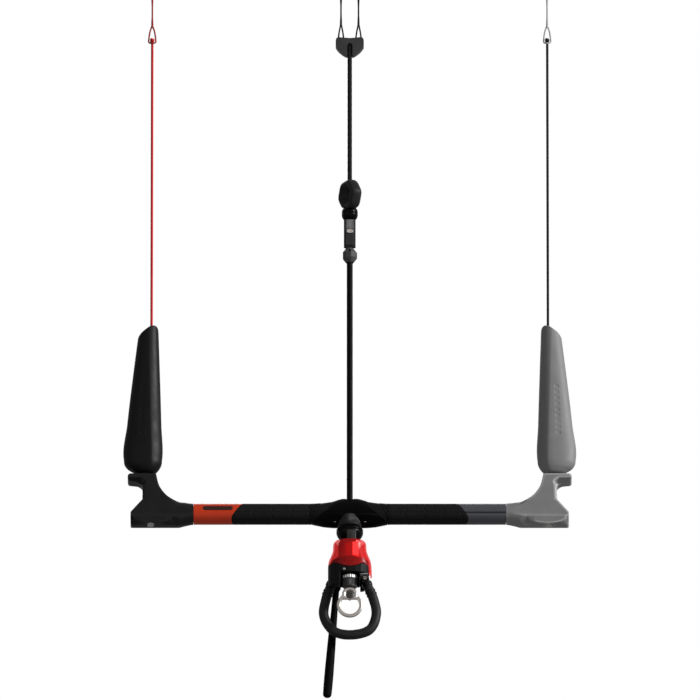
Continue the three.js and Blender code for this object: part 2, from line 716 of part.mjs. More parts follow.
// An end fitting: an eye on the pin, and a collar that the tube is pushed into.
function loopEnd(pinX, arm, hookOpening) {
  const eye = pinY(5, pinX, PIVOT_Z, SLOT_Y[0] + 1, SLOT_Y[1] - 1, 20);
  const from = new THREE.Vector3(pinX, LOOP_Y, PIVOT_Z);
  const to = new THREE.Vector3(...arm);
  const collar = along(new THREE.LineCurve3(from.clone().lerp(to, 0.5), to), 6.3, 16, 1);
  const neck = along(new THREE.LineCurve3(from.clone().lerp(to, 0.1), from.clone().lerp(to, 0.6)), 5, 14, 1);
  const body = join(eye, neck, collar);
  const bore = pinY(2, pinX, PIVOT_Z, -10, 30, 20);
  if (!hookOpening) return cut(body, bore);
  const mouth = polygon([
    [pinX - 2, PIVOT_Z], [pinX + 2, PIVOT_Z], [pinX + 2.4, PIVOT_Z + 8], [pinX - 3.6, PIVOT_Z + 8],
  ]);
  return cut(body, bore, slab(mouth, -10, 30));
}

function harnessLoop() {
  return strand([
    ARM_RIGHT.map((v, i) => v + [0.12, 0, -0.34][i]),
    [27, LOOP_Y, -102.5], [30.6, LOOP_Y, -122.5], [23.1, LOOP_Y, -141], [1, LOOP_Y, -147.5],
    [-18.3, LOOP_Y, -143], [-29.8, LOOP_Y, -124.5], [-27, LOOP_Y, -102],
    ARM_LEFT.map((v, i) => v + [-0.14, 0, -0.34][i]),
  ], LOOP_R, 10, 32);
}

addRelease('harness_loop', harnessLoop(), BLACK_MATT);
addRelease('loop_end_left', loopEnd(-PIVOT_X, ARM_LEFT, false), BLACK_GLOSS);
addRelease('loop_end_right', loopEnd(LATCH_X, ARM_RIGHT, true), BLACK_GLOSS);
addRelease('loop_pin', pinY(1.4, -PIVOT_X, PIVOT_Z, -3.5, BACK_Y - 0.3, 16), STEEL);
const latchShank = pinY(1.4, LATCH_X, PIVOT_Z, 0, BACK_Y - 0.3, 16);
const latchHead = pinY(2.6, LATCH_X, PIVOT_Z, -0.9, 0.8, 20);
addRelease('latch_pin', join(latchShank, latchHead), STEEL);

// ---- loop stick --------------------------------------------------------------------------------

const STICK_PIVOT = [-15.5, -84.6];

function stick() {
  const top = new THREE.Vector3(STICK_PIVOT[0], STICK_Y, STICK_PIVOT[1]);
  const end = new THREE.Vector3(-26.3, STICK_Y, -220);
  const length = top.distanceTo(end);
  const shaft = turned([
    [0, -length - 0.3], [2.6, -length + 0.2], [4.4, -length + 2], [5.1, -length + 5],
    [4.9, -length + 60], [3.9, -30], [3.7, 0], [0, 0],
  ], 14);
  shaft.rotateY(Math.atan2(end.x - top.x, end.z - top.z) + Math.PI).translate(...top.toArray());
  const eye = pinY(5.2, STICK_PIVOT[0], STICK_PIVOT[1], BACK_Y + GAP + 0.2, STICK_Y + 3.7, 24);
  return cut(join(shaft, eye), pinY(1.7, STICK_PIVOT[0], STICK_PIVOT[1], 0, 40, 16));
}

addRelease('loop_stick', stick(), BLACK_MATT);
addRelease('stick_pin', pinY(1.2, STICK_PIVOT[0], STICK_PIVOT[1], SLOT_Y[1] + 0.2, STICK_Y + 4.2, 16), STEEL);

// ---- leash swivel and ring ---------------------------------------------------------------------

const BEARING_LOW = -85;
const BARREL_LOW = -95;
const EYE_Z = -104.3;
const EYE_R = 9;
const TONGUE = 3.2; // thickness of the barrel's tongue, behind the eye
const HOOP_R = 12.7;
const HOOP_Z = -117.3;

function leashBarrel() {
  const barrel = turned([
    [0, BARREL_LOW], [7.6, BARREL_LOW], [8.5, BARREL_LOW + 0.9], [8.5, BEARING_LOW - GAP],
    [4.1, BEARING_LOW - GAP], [4.1, -71], [0, -71],
  ], 24);
  const outline = [[-4.4, EYE_Z - 4], [4.4, EYE_Z - 4], [4.4, BARREL_LOW + 1], [-4.4, BARREL_LOW + 1]];
  const tongue = slab(polygon(outline), 0, TONGUE, 0.5);
  return cut(join(barrel, tongue), pinY(2.1, 0, EYE_Z, -10, 10)).translate(0, LEASH_Y, 0);
}

// An eye for the screw and a hoop for the leash's hook, cast in one flat piece.
function leashRing() {
  const wire = 1.7;
  const middle = -wire - GAP;
  const hoop = new THREE.TorusGeometry(HOOP_R, wire, 8, 24).rotateX(Math.PI / 2).translate(0, middle, HOOP_Z);
  const waist = polygon([[-8.6, EYE_Z + 1], [-12.6, EYE_Z - 7.4], [12.6, EYE_Z - 7.4], [8.6, EYE_Z + 1]]);
  const web = slab(waist, middle - wire, -GAP, 0.4);
  const eye = pinY(EYE_R, 0, EYE_Z, -5, -GAP, 20);
  const inside = common(pinY(HOOP_R - wire, 0, HOOP_Z, -9, 9, 24), box([-20, -9, -150], [20, 9, EYE_Z - 5.6]));
  const recess = pinY(4.6, 0, EYE_Z, -9, -3.4, 20);
  return cut(join(hoop, web, eye), inside, recess, pinY(2.1, 0, EYE_Z, -10, 10)).translate(0, LEASH_Y, 0);
}

function ringScrew() {
  const shank = pinY(1.8, 0, EYE_Z, -4, TONGUE + 1, 16);
  const head = pinY(4.2, 0, EYE_Z, -4.6, -3.7, 24);
  return cut(join(shank, head), box([-6, -9, EYE_Z - 0.6], [6, -4.2, EYE_Z + 0.6])).translate(0, LEASH_Y, 0);
}

function knurledBearing() {
  const teeth = 18;
  const outline = [];
  for (let i = 0; i < teeth * 2; i++) {
    const angle = (i / (teeth * 2)) * 2 * Math.PI;
    const r = i % 2 ? 9.3 : 8.8;
    outline.push([r * Math.cos(angle), r * Math.sin(angle)]);
  }
  const body = new THREE.ExtrudeGeometry(polygon(outline), { depth: 4, bevelEnabled: false })
    .translate(0, 0, BEARING_LOW);
  return cut(body, disc(4.4, -100, -70, 20)).translate(0, LEASH_Y, 0);
}

addRelease('leash_bearing', knurledBearing(), STEEL);
addRelease('leash_barrel', leashBarrel(), BLACK_MATT);
addRelease('leash_ring', leashRing(), NICKEL);
addRelease('leash_screw', ringScrew(), STEEL);

export default set;
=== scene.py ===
"""Kitesurf control bar set: the detailed pieces and their materials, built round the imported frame.

Shapes are drawn in millimetres from the bar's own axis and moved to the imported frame, whose origin
is at the loops on top of the lines, when a mesh is made.
"""

import math

import bmesh
import bpy
import numpy as np
from mathutils import Matrix, Vector


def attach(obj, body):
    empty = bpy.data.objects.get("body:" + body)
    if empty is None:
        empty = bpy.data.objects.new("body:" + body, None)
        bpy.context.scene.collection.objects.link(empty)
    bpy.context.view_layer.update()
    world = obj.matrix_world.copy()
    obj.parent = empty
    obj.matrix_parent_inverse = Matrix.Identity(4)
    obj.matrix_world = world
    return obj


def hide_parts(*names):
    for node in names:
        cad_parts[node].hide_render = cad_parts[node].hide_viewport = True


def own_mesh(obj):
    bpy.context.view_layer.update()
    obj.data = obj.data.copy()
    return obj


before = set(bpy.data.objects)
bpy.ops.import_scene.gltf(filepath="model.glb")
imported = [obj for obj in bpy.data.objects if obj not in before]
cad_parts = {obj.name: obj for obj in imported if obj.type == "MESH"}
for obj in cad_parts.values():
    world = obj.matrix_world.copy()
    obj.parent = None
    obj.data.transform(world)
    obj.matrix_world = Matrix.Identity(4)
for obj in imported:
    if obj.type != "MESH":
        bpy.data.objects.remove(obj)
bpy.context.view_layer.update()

MM = 0.001
HANG = 655.0  # line loops down to the bar's axis
GRIP_R = 12.2
SLEEVE_END = 181.0
LINE_X = 230.0
FRONT_X = 10.2
FRONT_Y = 1.2
LOOP_Y = 7.0
LEASH_Y = -8.0
STICK_Y = 19.8
RISE = 1.9  # added to every height of the release, its loop and its leash


def metres(points):
    """Points in millimetres from the bar's axis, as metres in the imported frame."""
    p = np.array(points, float).reshape(-1, 3)
    return (p - [0, 0, HANG]) * MM


# ---- camera, light and floor ---------------------------------------------------------------------

scene = bpy.context.scene
scene.view_settings.view_transform = "Standard"

TILT = math.radians(20)  # the camera looks up by this much
DISTANCE = 33.84
LENS, SENSOR = 1500, 36  # a very long lens far off, so that hardly any perspective shows
target = Vector((0.0003, 0, -0.4526))
camera = bpy.data.objects.new("camera", bpy.data.cameras.new("camera"))
camera.data.lens = LENS
camera.data.sensor_width = SENSOR
camera.data.clip_start = 0.1
camera.data.clip_end = 200
camera.location = target - DISTANCE * Vector((0, math.cos(TILT), math.sin(TILT)))
camera.rotation_euler = (math.pi / 2 + TILT, 0, 0)
scene.collection.objects.link(camera)
scene.camera = camera

SKY_LIGHT = 0.09
SKY_IN_GLOSS = 0.3  # share of white in what reflections see
SUN_POWER, SUN_WIDTH, SUN_WAY = 3.7, math.radians(16), Vector((-0.862, 0.402, -0.309))

world = bpy.data.worlds.new("studio")
scene.world = world
world.use_nodes = True
sky = world.node_tree
sky.nodes.clear()
sky_out = sky.nodes.new("ShaderNodeOutputWorld")
sky_mix = sky.nodes.new("ShaderNodeMixShader")
sky_seen = sky.nodes.new("ShaderNodeBackground")
sky_seen.inputs["Color"].default_value = (1, 1, 1, 1)
sky_light = sky.nodes.new("ShaderNodeBackground")
sky_light.inputs["Color"].default_value = (1, 1, 1, 1)
sky_light.inputs["Strength"].default_value = SKY_LIGHT
path = sky.nodes.new("ShaderNodeLightPath")
sky_gloss = sky.nodes.new("ShaderNodeMath")  # a paler room in reflections, so that metal shows its form
sky_gloss.operation = "MULTIPLY_ADD"
sky_gloss.inputs[1].default_value = SKY_IN_GLOSS
sky.links.new(path.outputs["Is Glossy Ray"], sky_gloss.inputs[0])
sky.links.new(path.outputs["Is Camera Ray"], sky_gloss.inputs[2])
sky.links.new(sky_gloss.outputs[0], sky_mix.inputs[0])
sky.links.new(sky_light.outputs[0], sky_mix.inputs[1])
sky.links.new(sky_seen.outputs[0], sky_mix.inputs[2])
sky.links.new(sky_mix.outputs[0], sky_out.inputs["Surface"])


def lamp(name, place, aim, size, watts):
    data = bpy.data.lights.new(name, "AREA")
    data.size = size
    data.energy = watts
    obj = bpy.data.objects.new(name, data)
    obj.location = place
    obj.rotation_euler = (Vector(aim) - Vector(place)).to_track_quat("-Z", "Y").to_euler()
    scene.collection.objects.link(obj)


sun = bpy.data.objects.new("key", bpy.data.lights.new("key", "SUN"))
sun.data.energy = SUN_POWER
sun.data.angle = SUN_WIDTH
sun.rotation_euler = SUN_WAY.to_track_quat("-Z", "Y").to_euler()
scene.collection.objects.link(sun)
lamp("fill", (-2.2, -3.0, -0.6), (0, 0, -0.5), 1.6, 8)
lamp("front", (0.5, -3.0, -1.9), (0, 0, -0.75), 1.2, 5)
lamp("back", (-0.6, 2.6, 1.4), (0, 0, -0.5), 1.6, 30)

# ---- mesh tools ----------------------------------------------------------------------------------


def solid(points, faces, name="solid"):
    """A mesh object from millimetre points, its faces turned outwards."""
    mesh = bpy.data.meshes.new(name)
    mesh.from_pydata([tuple(p) for p in metres(points)], [], [tuple(f) for f in faces])
    bm = bmesh.new()
    bm.from_mesh(mesh)
    bmesh.ops.remove_doubles(bm, verts=bm.verts, dist=1e-7)
    bmesh.ops.recalc_face_normals(bm, faces=bm.faces)
    bm.to_mesh(mesh)
    bm.free()
    obj = bpy.data.objects.new(name, mesh)
    scene.collection.objects.link(obj)
    return obj


def circle(count):
    """Angles evenly spaced once round."""
    return np.linspace(0, 2 * np.pi, count, endpoint=False)


def boxed(around, power):
    """Cosine, sine and the gain that turns a circle into a rounded box; power 2 leaves a circle."""
    c, s = np.cos(around), np.sin(around)
    return c, s, (np.abs(c) ** power + np.abs(s) ** power) ** (-1 / power)


def ring_at(radius, z, around, y=0):
    return np.c_[radius * np.cos(around), y + radius * np.sin(around), np.full(len(around), z)]


def fluted(rows, count, points, depth, sign=1, power=1, y=0):
    """Rings from (radius, height, share) rows; each radius dips by depth times its share at every flute."""
    around = circle(count * points)
    wave = (0.5 + sign * 0.5 * np.cos(around * count)) ** power
    return [ring_at(r - depth * share * wave, z, around, y) for r, z, share in rows]


def loft(rings, caps=True):
    """Closed rings of equal count, joined in order."""
    rings = [np.array(r, float) for r in rings]
    n = len(rings[0])
    faces = []
    for k in range(len(rings) - 1):
        a, b = k * n, (k + 1) * n
        faces += [(a + i, a + (i + 1) % n, b + (i + 1) % n, b + i) for i in range(n)]
    if caps:
        faces.append(tuple(reversed(range(n))))
        faces.append(tuple(range((len(rings) - 1) * n, len(rings) * n)))
    return solid(np.concatenate(rings), faces)


def turned(profile, sides=48, centre=(0, 0, 0), to=(0, 0, 1)):
    """A body of revolution; profile is (radius, height) pairs and runs from axis to axis or closes."""
    around = circle(sides)
    ring = np.stack([np.cos(around), np.sin(around), 0 * around], 1)
    rings = [ring * max(r, 1e-5) + [0, 0, z] for r, z in profile]
    closes = tuple(profile[0]) == tuple(profile[-1])
    turn = Vector((0, 0, 1)).rotation_difference(Vector(to).normalized()).to_matrix()
    place = [r @ np.array(turn).T + centre for r in rings]
    return loft(place, caps=not closes)


def eased(rows, steps):
    """Rows of numbers filled in by a smooth curve through them, the first number rising."""
    rows = np.array(rows, float)
    t = np.linspace(rows[0, 0], rows[-1, 0], steps)
    x = rows[:, 0]
    out = [t]
    for column in rows.T[1:]:
        slope = np.gradient(column, x)
        k = np.clip(np.searchsorted(x, t, side="right") - 1, 0, len(x) - 2)
        h = x[k + 1] - x[k]
        u = (t - x[k]) / h
        out.append(
            (1 + 2 * u) * (1 - u) ** 2 * column[k]
            + u * (1 - u) ** 2 * h * slope[k]
            + u * u * (3 - 2 * u) * column[k + 1]
            + u * u * (u - 1) * h * slope[k + 1]
        )
    return np.stack(out, 1)


def curve_through(points, steps):
    """A smooth curve through points, by evenly weighted Catmull-Rom pieces."""
    p = np.array(points, float)
    chord = np.r_[0, np.cumsum(np.linalg.norm(np.diff(p, axis=0), axis=1) ** 0.5)]
    return eased(np.c_[chord, p], steps)[:, 1:]


def sweep(line, radius, sides=20, shape=None):
    """A tube along a line; radius is a number or one for each point."""
    line = np.array(line, float)
    radius = np.broadcast_to(radius, len(line))
    ahead = np.gradient(line, axis=0)
    ahead /= np.linalg.norm(ahead, axis=1)[:, None]
    side = np.cross(ahead[0], [0, 1, 0.001])
    side /= np.linalg.norm(side)
    around = circle(sides)
    rings = []
    for k, (p, d) in enumerate(zip(line, ahead)):
        side = side - d * (side @ d)
        side /= np.linalg.norm(side)
        up = np.cross(d, side)
        r = radius[k] * (1 if shape is None else shape(k, around))
        rings.append(p + np.outer(np.cos(around) * r, side) + np.outer(np.sin(around) * r, up))
    return loft(rings)


def prism(outline, y0, y1):
    """An outline in the X-Z plane carried from y0 to y1."""
    o = np.array(outline, float)
    rings = [np.c_[o[:, 0], np.full(len(o), y), o[:, 1]] for y in (y0, y1)]
    return loft(rings)


def block(low, high):
    (x0, y0, z0), (x1, y1, z1) = low, high
    return prism([(x0, z0), (x1, z0), (x1, z1), (x0, z1)], y0, y1)


def pin(radius, x, z, y0, y1, sides=32):
    return turned([(0, 0), (radius, 0), (radius, y1 - y0), (0, y1 - y0)], sides, (x, y0, z), (0, 1, 0))


def bent(start, *pieces, steps=8):
    """An outline of straight (x, z) corners and curved pieces: 1 or 2 handles and an end."""
    out = [start]
    for piece in pieces:
        if not hasattr(piece[0], "__len__"):
            out.append(piece)
            continue
        handles = [out[-1], *piece]
        for i in range(1, steps + 1):
            p = np.array(handles, float)
            t = i / steps
            while len(p) > 1:
                p = p[:-1] * (1 - t) + p[1:] * t
            out.append(tuple(p[0]))
    return out


def applied(obj):
    """The object with its modifiers made part of its mesh."""
    bpy.context.view_layer.update()
    seen = obj.evaluated_get(bpy.context.evaluated_depsgraph_get())
    mesh = bpy.data.meshes.new_from_object(seen)
    old = obj.data
    obj.modifiers.clear()
    obj.data = mesh
    bpy.data.meshes.remove(old)
    return obj


def combine(obj, operation, *tools):
    for tool in tools:
        mod = obj.modifiers.new("b", "BOOLEAN")
        mod.operation = operation
        mod.solver = "EXACT"
        mod.object = tool
    applied(obj)
    for tool in tools:
        bpy.data.objects.remove(tool)
    return obj


def cut(obj, *tools):
    return combine(obj, "DIFFERENCE", *tools)


def joined(obj, *others):
    return combine(obj, "UNION", *others)


def common(obj, *others):
    return combine(obj, "INTERSECT", *others)


def softened(obj, voxel, rounds, factor=0.5):
    """Remeshed evenly and smoothed, so that every edge gets the small radius of a moulding."""
    mod = obj.modifiers.new("r", "REMESH")
    mod.mode = "VOXEL"
    mod.voxel_size = voxel * MM
    if rounds:
        mod = obj.modifiers.new("s", "SMOOTH")
        mod.factor = factor
        mod.iterations = rounds
    return applied(obj)


def bevelled(obj, width, segments=2, angle=35):
    mod = obj.modifiers.new("v", "BEVEL")
    mod.width = width * MM
    mod.segments = segments
    mod.limit_method = "ANGLE"
    mod.angle_limit = math.radians(angle)
    return applied(obj)


def millimetres(obj):
    co = np.empty(len(obj.data.vertices) * 3)
    obj.data.vertices.foreach_get("co", co)
    return co.reshape(-1, 3) / MM + [0, 0, HANG]


def reshape(obj, points):
    obj.data.vertices.foreach_set("co", metres(points).ravel())
    obj.data.update()


def normals(obj):
    n = np.empty(len(obj.data.vertices) * 3)
    obj.data.vertices.foreach_get("normal", n)
    return n.reshape(-1, 3)


def edges_of(obj, rounds=6):
    """How sharply the surface bends outwards at each vertex, from 0 on flats to 1 on edges."""
    pairs = np.array([e.vertices[:] for e in obj.data.edges])
    count = len(obj.data.vertices)
    n = normals(obj)
    smooth = n.copy()
    share = np.bincount(pairs.ravel(), minlength=count)[:, None]
    for _ in range(rounds):
        total = np.zeros_like(n)
        np.add.at(total, pairs[:, 0], smooth[pairs[:, 1]])
        np.add.at(total, pairs[:, 1], smooth[pairs[:, 0]])
        smooth = total / share
    p = millimetres(obj)
    middle = np.zeros_like(p)
    np.add.at(middle, pairs[:, 0], p[pairs[:, 1]])
    np.add.at(middle, pairs[:, 1], p[pairs[:, 0]])
    outwards = np.einsum("ij,ij->i", p - middle / share, n) > -0.002
    return np.clip((1 - np.linalg.norm(smooth, axis=1)) * 25 - 0.2, 0, 1) * outwards


def tag(obj, name, values):
    """A number on each vertex, for the material to read."""
    layer = obj.data.attributes.new(name, "FLOAT", "POINT")
    layer.data.foreach_set("value", np.array(values, np.float32))


def copy_of(node):
    """A CAD node's mesh as a new piece to work on."""
    obj = bpy.data.objects.new(node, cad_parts[node].data.copy())
    obj.data.materials.clear()
    for name in [a.name for a in obj.data.attributes if a.name.startswith("custom")]:
        obj.data.attributes.remove(obj.data.attributes[name])
    scene.collection.objects.link(obj)
    return obj


def raised(obj):
    obj.data.transform(Matrix.Translation((0, 0, RISE * MM)))
    return obj


def mirrored(obj):
    """The same mesh on the other side of the bar."""
    other = bpy.data.objects.new("mirror", obj.data.copy())
    scene.collection.objects.link(other)
    other.data.transform(Matrix.Scale(-1, 4, (1, 0, 0)))
    other.data.flip_normals()
    return other


def dress(obj, name, body, slot, material, *nodes, sharp=40):
    """Names a piece, gives it its finish and body, and hides the CAD nodes that it stands for."""
    obj.name = name
    obj.data.name = name
    if obj.type == "MESH":
        obj.data.materials.clear()
        obj.data.materials.append(material)
        obj.data.polygons.foreach_set("use_smooth", [True] * len(obj.data.polygons))
        obj.data.set_sharp_from_angle(angle=math.radians(sharp))
    else:
        obj.data.materials.append(material)
    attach(obj, body)
    if nodes:
        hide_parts(*nodes)
    return obj


# ---- materials -----------------------------------------------------------------------------------


class Net:
    """A material's nodes, made and joined in one call each."""

    def __init__(self, name):
        self.material = bpy.data.materials.new(name)
        self.material.use_nodes = True
        self.tree = self.material.node_tree
        self.tree.nodes.clear()

    def add(self, kind, inputs=None, **settings):
        node = self.tree.nodes.new("ShaderNode" + kind)
        for key, value in settings.items():
            setattr(node, key, value)
        for key, value in (inputs or {}).items():
            if isinstance(value, bpy.types.NodeSocket):
                self.tree.links.new(value, node.inputs[key])
            else:
                node.inputs[key].default_value = value
        return node

    def noise(self, scale, detail=3.0, stretch=(1, 1, 1)):
        place = self.add("TexCoord").outputs["Object"]
        moved = self.add("Mapping", {"Vector": place, "Scale": stretch}).outputs[0]
        return self.add("TexNoise", {"Vector": moved, "Scale": scale, "Detail": detail}).outputs["Fac"]

    def spread(self, value, low, high, start=0.3, end=0.7):
        return self.add("MapRange", {
            "Value": value, "From Min": start, "From Max": end, "To Min": low, "To Max": high,
        }).outputs[0]

    def mix(self, share, a, b):
        node = self.add("Mix", data_type="RGBA")
        for key, value in ((0, share), (6, a), (7, b)):
            if isinstance(value, bpy.types.NodeSocket):
                self.tree.links.new(value, node.inputs[key])
            else:
                node.inputs[key].default_value = value
        return node.outputs[2]

    def attribute(self, name):
        return self.add("Attribute", attribute_name=name).outputs["Fac"]

    def math(self, operation, a, b=0.0):
        return self.add("Math", {0: a, 1: b}, operation=operation).outputs[0]

    def bump(self, height, depth_mm, strength=1.0):
        return self.add("Bump",
                        {"Height": height, "Distance": depth_mm * MM, "Strength": strength}).outputs[0]

    def done(self, shader):
        self.add("OutputMaterial", {"Surface": shader})
        return self.material


def rgb(color, gain=1.0):
    """A colour from three numbers, or a grey from one."""
    color = (color,) * 3 if np.isscalar(color) else color
    return (*[min(1, c * gain) for c in color], 1)


def moulded(name, color, rough, grain=900, depth=0.03, vary=0.12, wear_and_highlight=1.5, gloss=0.3):
    """Moulded plastic or rubber: fine grain, faint mottling, and paler convex edges that are partly wear and
    partly a painted highlight.
    """
    net = Net(name)
    mottle = net.noise(60, 4)
    base = net.mix(net.spread(mottle, 0, 1), rgb(color, 1 - vary), rgb(color, 1 + vary))
    # Paler where the surface is sharply convex, broken up by scuffs: partly edge wear, partly a painted
    # highlight on rounded edges.
    edge = net.spread(net.add("NewGeometry").outputs["Pointiness"], 0, 1, 0.52, 0.62)
    scuffs = net.spread(net.noise(240, 5), 0, 1, 0.4, 0.6)
    base = net.mix(net.math("MULTIPLY", edge, scuffs), base, rgb(color, wear_and_highlight))
    # Where the edge tag is set, a painted highlight along the edges.
    base = net.mix(net.attribute("edge"), base, rgb(color, wear_and_highlight))
    fine = net.noise(grain, 6)
    shader = net.add("BsdfPrincipled", {
        "Base Color": base,
        "Roughness": net.spread(mottle, rough * 0.88, rough * 1.12),
        "Specular IOR Level": gloss,
        "Normal": net.bump(fine, depth),
    })
    return net.done(shader.outputs[0])


def metal(name, color, rough, brushed=(1, 1, 12), depth=0.02):
    """Machined or brushed metal, with fine scratches along one direction."""
    net = Net(name)
    scratch = net.noise(700, 4, brushed)
    smear = net.noise(90, 3)
    base = net.mix(net.spread(smear, 0, 1), rgb(color, 0.86), rgb(color, 1.06))
    shader = net.add("BsdfPrincipled", {
        "Base Color": base,
        "Metallic": 1.0,
        "Roughness": net.spread(scratch, rough * 0.75, rough * 1.3),
        "Normal": net.bump(scratch, depth),
    })
    return net.done(shader.outputs[0])


def cordage(name, color, vary=0.25, fuzz=1500):
    """Braided line: painted shade between the strands, with a faint sheen of fibres."""
    net = Net(name)
    fibre = net.noise(fuzz, 5, (1, 1, 0.25))
    base = net.mix(net.spread(fibre, 0, 1), rgb(color, 1 - vary), rgb(color, 1 + vary))
    # Painted shade in the valleys between strands.
    base = net.mix(net.attribute("strand_valley_shade"), base, rgb(color, 0.7))
    shader = net.add("BsdfPrincipled", {
        "Base Color": base,
        "Roughness": 0.75,
        "Specular IOR Level": 0.08,
        "Sheen Weight": 0.15,
        "Sheen Roughness": 0.5,
        "Normal": net.bump(fibre, 0.03),
    })
    return net.done(shader.outputs[0])


BLACK = moulded("black_plastic", (0.0085, 0.0085, 0.009), 0.42, depth=0.012, gloss=0.2)
GLOSS = moulded("black_gloss", (0.0025, 0.0025, 0.0028), 0.3, 1400, 0.006, gloss=0.08)
GREY = moulded("grey_plastic", 0.225, 0.45, 900, 0.01, 0.06, 1.8, gloss=0.3)
FOAM = moulded("grip_foam", 0.0075, 0.66, 1100, 0.03, 0.2, gloss=0.12)
FLOAT_DARK = moulded("float_black", 0.005, 0.5, 800, 0.03, 0.15, gloss=0.15)
FLOAT_PALE = moulded("float_grey", 0.215, 0.55, 800, 0.03, 0.06, 1.2)
HOSE = moulded("loop_tube", 0.011, 0.55, 700, 0.01, 0.2, gloss=0.25)
YOKE = moulded("yoke_plastic", (0.042, 0.042, 0.043), 0.4, depth=0.012)
POST = moulded("post_plastic", (0.03, 0.028, 0.027), 0.5, depth=0.012, gloss=0.12)
STEEL = metal("steel", (0.62, 0.61, 0.59), 0.24)
SATIN_STEEL = metal("satin_steel", (0.6, 0.59, 0.57), 0.5)
DARK_STEEL = metal("dark_steel", (0.1, 0.098, 0.095), 0.4)
NICKEL = metal("nickel", (0.66, 0.61, 0.57), 0.36, (12, 1, 1), 0.04)
ALLOY = metal("alloy", (0.16, 0.16, 0.17), 0.35)
RED_LINE = cordage("cord_red", (0.62, 0.022, 0.022))
BLACK_LINE = cordage("cord_black", 0.016)
DARK_LINE = cordage("cord_dark_red", (0.36, 0.03, 0.03))
PALE_LINE = cordage("cord_grey", 0.5)
THREAD = cordage("stitch_thread", 0.3, 0.15)
WEB = cordage("webbing", 0.10, 0.3)


def clear_red(name, tint, color, share, rough, gloss):
    """Translucent moulding: light passes straight through a share of it, tinted."""
    net = Net(name)
    smear = net.noise(50, 3)
    body = net.add("BsdfPrincipled", {
        "Base Color": net.mix(net.spread(smear, 0, 1), rgb(color, 0.9), rgb(color, 1.1)),
        "Roughness": rough,
        "Specular IOR Level": gloss,
        "Subsurface Weight": 0.2,
        "Subsurface Scale": 0.004,
        "Subsurface Radius": (1.0, 0.15, 0.1),
        "Normal": net.bump(net.noise(500, 3), 0.01),
    }).outputs[0]
    through = net.add("BsdfTransparent", {"Color": rgb(tint)}).outputs[0]
    both = net.add("MixShader", {0: share, 1: body, 2: through}).outputs[0]
    return net.done(both)


RED_CLEAR = clear_red("red_clear", (0.98, 0.45, 0.45), (0.8, 0.035, 0.035), 0.78, 0.2, 0.5)
RED_CORE = clear_red("red_core", (0.95, 0.06, 0.06), (0.82, 0.012, 0.012), 0.15, 0.22, 1.0)

# ---- cords ---------------------------------------------------------------------------------------

WIRE_R = 0.95
THROAT_R = 1.3
EYE_THROAT = 641.0
LEADER_TOP = 588.0


def braid(line, radius, carriers, pitch, step, sides=24):
    """A tube whose surface is a braid of strands crossing both ways; line is fine enough already."""
    line = np.array(line, float)
    run = np.r_[0, np.cumsum(np.linalg.norm(np.diff(line, axis=0), axis=1))]
    count = max(4, int(run[-1] / step))
    even = np.linspace(0, run[-1], count)
    line = np.stack([np.interp(even, run, c) for c in line.T], 1)
    heights = []

    def relief(k, around):
        turn = 2 * np.pi * even[k] / pitch
        one = np.cos(carriers / 2 * around + turn)
        two = np.cos(carriers / 2 * around - turn)
        high = np.maximum(one, two)
        # How deep each point lies between the strands, for the painted shade.
        heights.append(np.clip(-high * 1.5, 0, 1))
        return 0.985 + 0.02 * high

    obj = sweep(line, radius, sides, relief)
    tag(obj, "strand_valley_shade", np.concatenate(heights))
    return obj


def straight(x, y, z0, z1):
    return [(x, y, z) for z in np.linspace(z0, z1, 24)]


def eye_line(x, y, throat, bend, reach):
    up = math.copysign(1, bend - throat)
    return curve_through([
        (x, y, throat - up * 2), (x - reach * 0.8, y, throat + (bend - throat) * 0.45),
        (x - reach, y, bend - up * reach), (x, y, bend), (x + reach, y, bend - up * reach),
        (x + reach * 0.8, y, throat + (bend - throat) * 0.45), (x, y, throat - up * 2),
    ], 90)


def splice(x, y, z0, z1, up):
    """The thicker stretch where a line is buried in itself, tapering away from the eye."""
    ends = np.linspace(0, 1, 24)
    z = z0 + (z1 - z0) * ends
    share = ends if up else 1 - ends
    r = WIRE_R + (THROAT_R - WIRE_R) * np.clip(share * 1.6, 0, 1) + 0.12 * np.sin(ends * 46)
    r[0], r[-1] = r[0] * 0.9, r[-1] * 0.9
    return sweep(np.c_[np.full(24, x), np.full(24, y), z], r, 14)


def spliced(name, body, slot, material, x, y, throat, lower_eye, node):
    """A line with an eye at each end: the straight part is the cord, the eyes are on it."""
    top_eye = braid(eye_line(x, y, EYE_THROAT, HANG - WIRE_R, 2.4), WIRE_R, 8, 3.2, 0.4, 14)
    low_eye = braid(lower_eye, WIRE_R, 8, 3.2, 0.4, 14)
    parts = [
        dress(top_eye, f"{name}_upper_eye", body, slot, material),
        dress(low_eye, f"{name}_lower_eye", body, slot, material),
        dress(splice(x, y, throat - 1.5, throat + 12, False), f"{name}_lower_splice", body, slot, material),
        dress(splice(x, y, EYE_THROAT - 12, EYE_THROAT + 1.5, True), f"{name}_upper_splice", body, slot,
              material),
    ]
    route = straight(x, y, throat, EYE_THROAT)
    cord = braid(route, WIRE_R, 8, 3.2, 0.3, 16)
    dress(cord, name, body, slot, material, node)


YOKE_PIN_Z = 583.2
for side, label in ((-1, "left"), (1, "right")):
    bend = YOKE_PIN_Z - 1 - WIRE_R - 0.6
    spliced(f"front_line_{label}_braid", "kite_side", "cord_black", BLACK_LINE, side * FRONT_X, FRONT_Y, 606,
            eye_line(side * FRONT_X, FRONT_Y, 606, bend, 3), f"front_line_{label}")

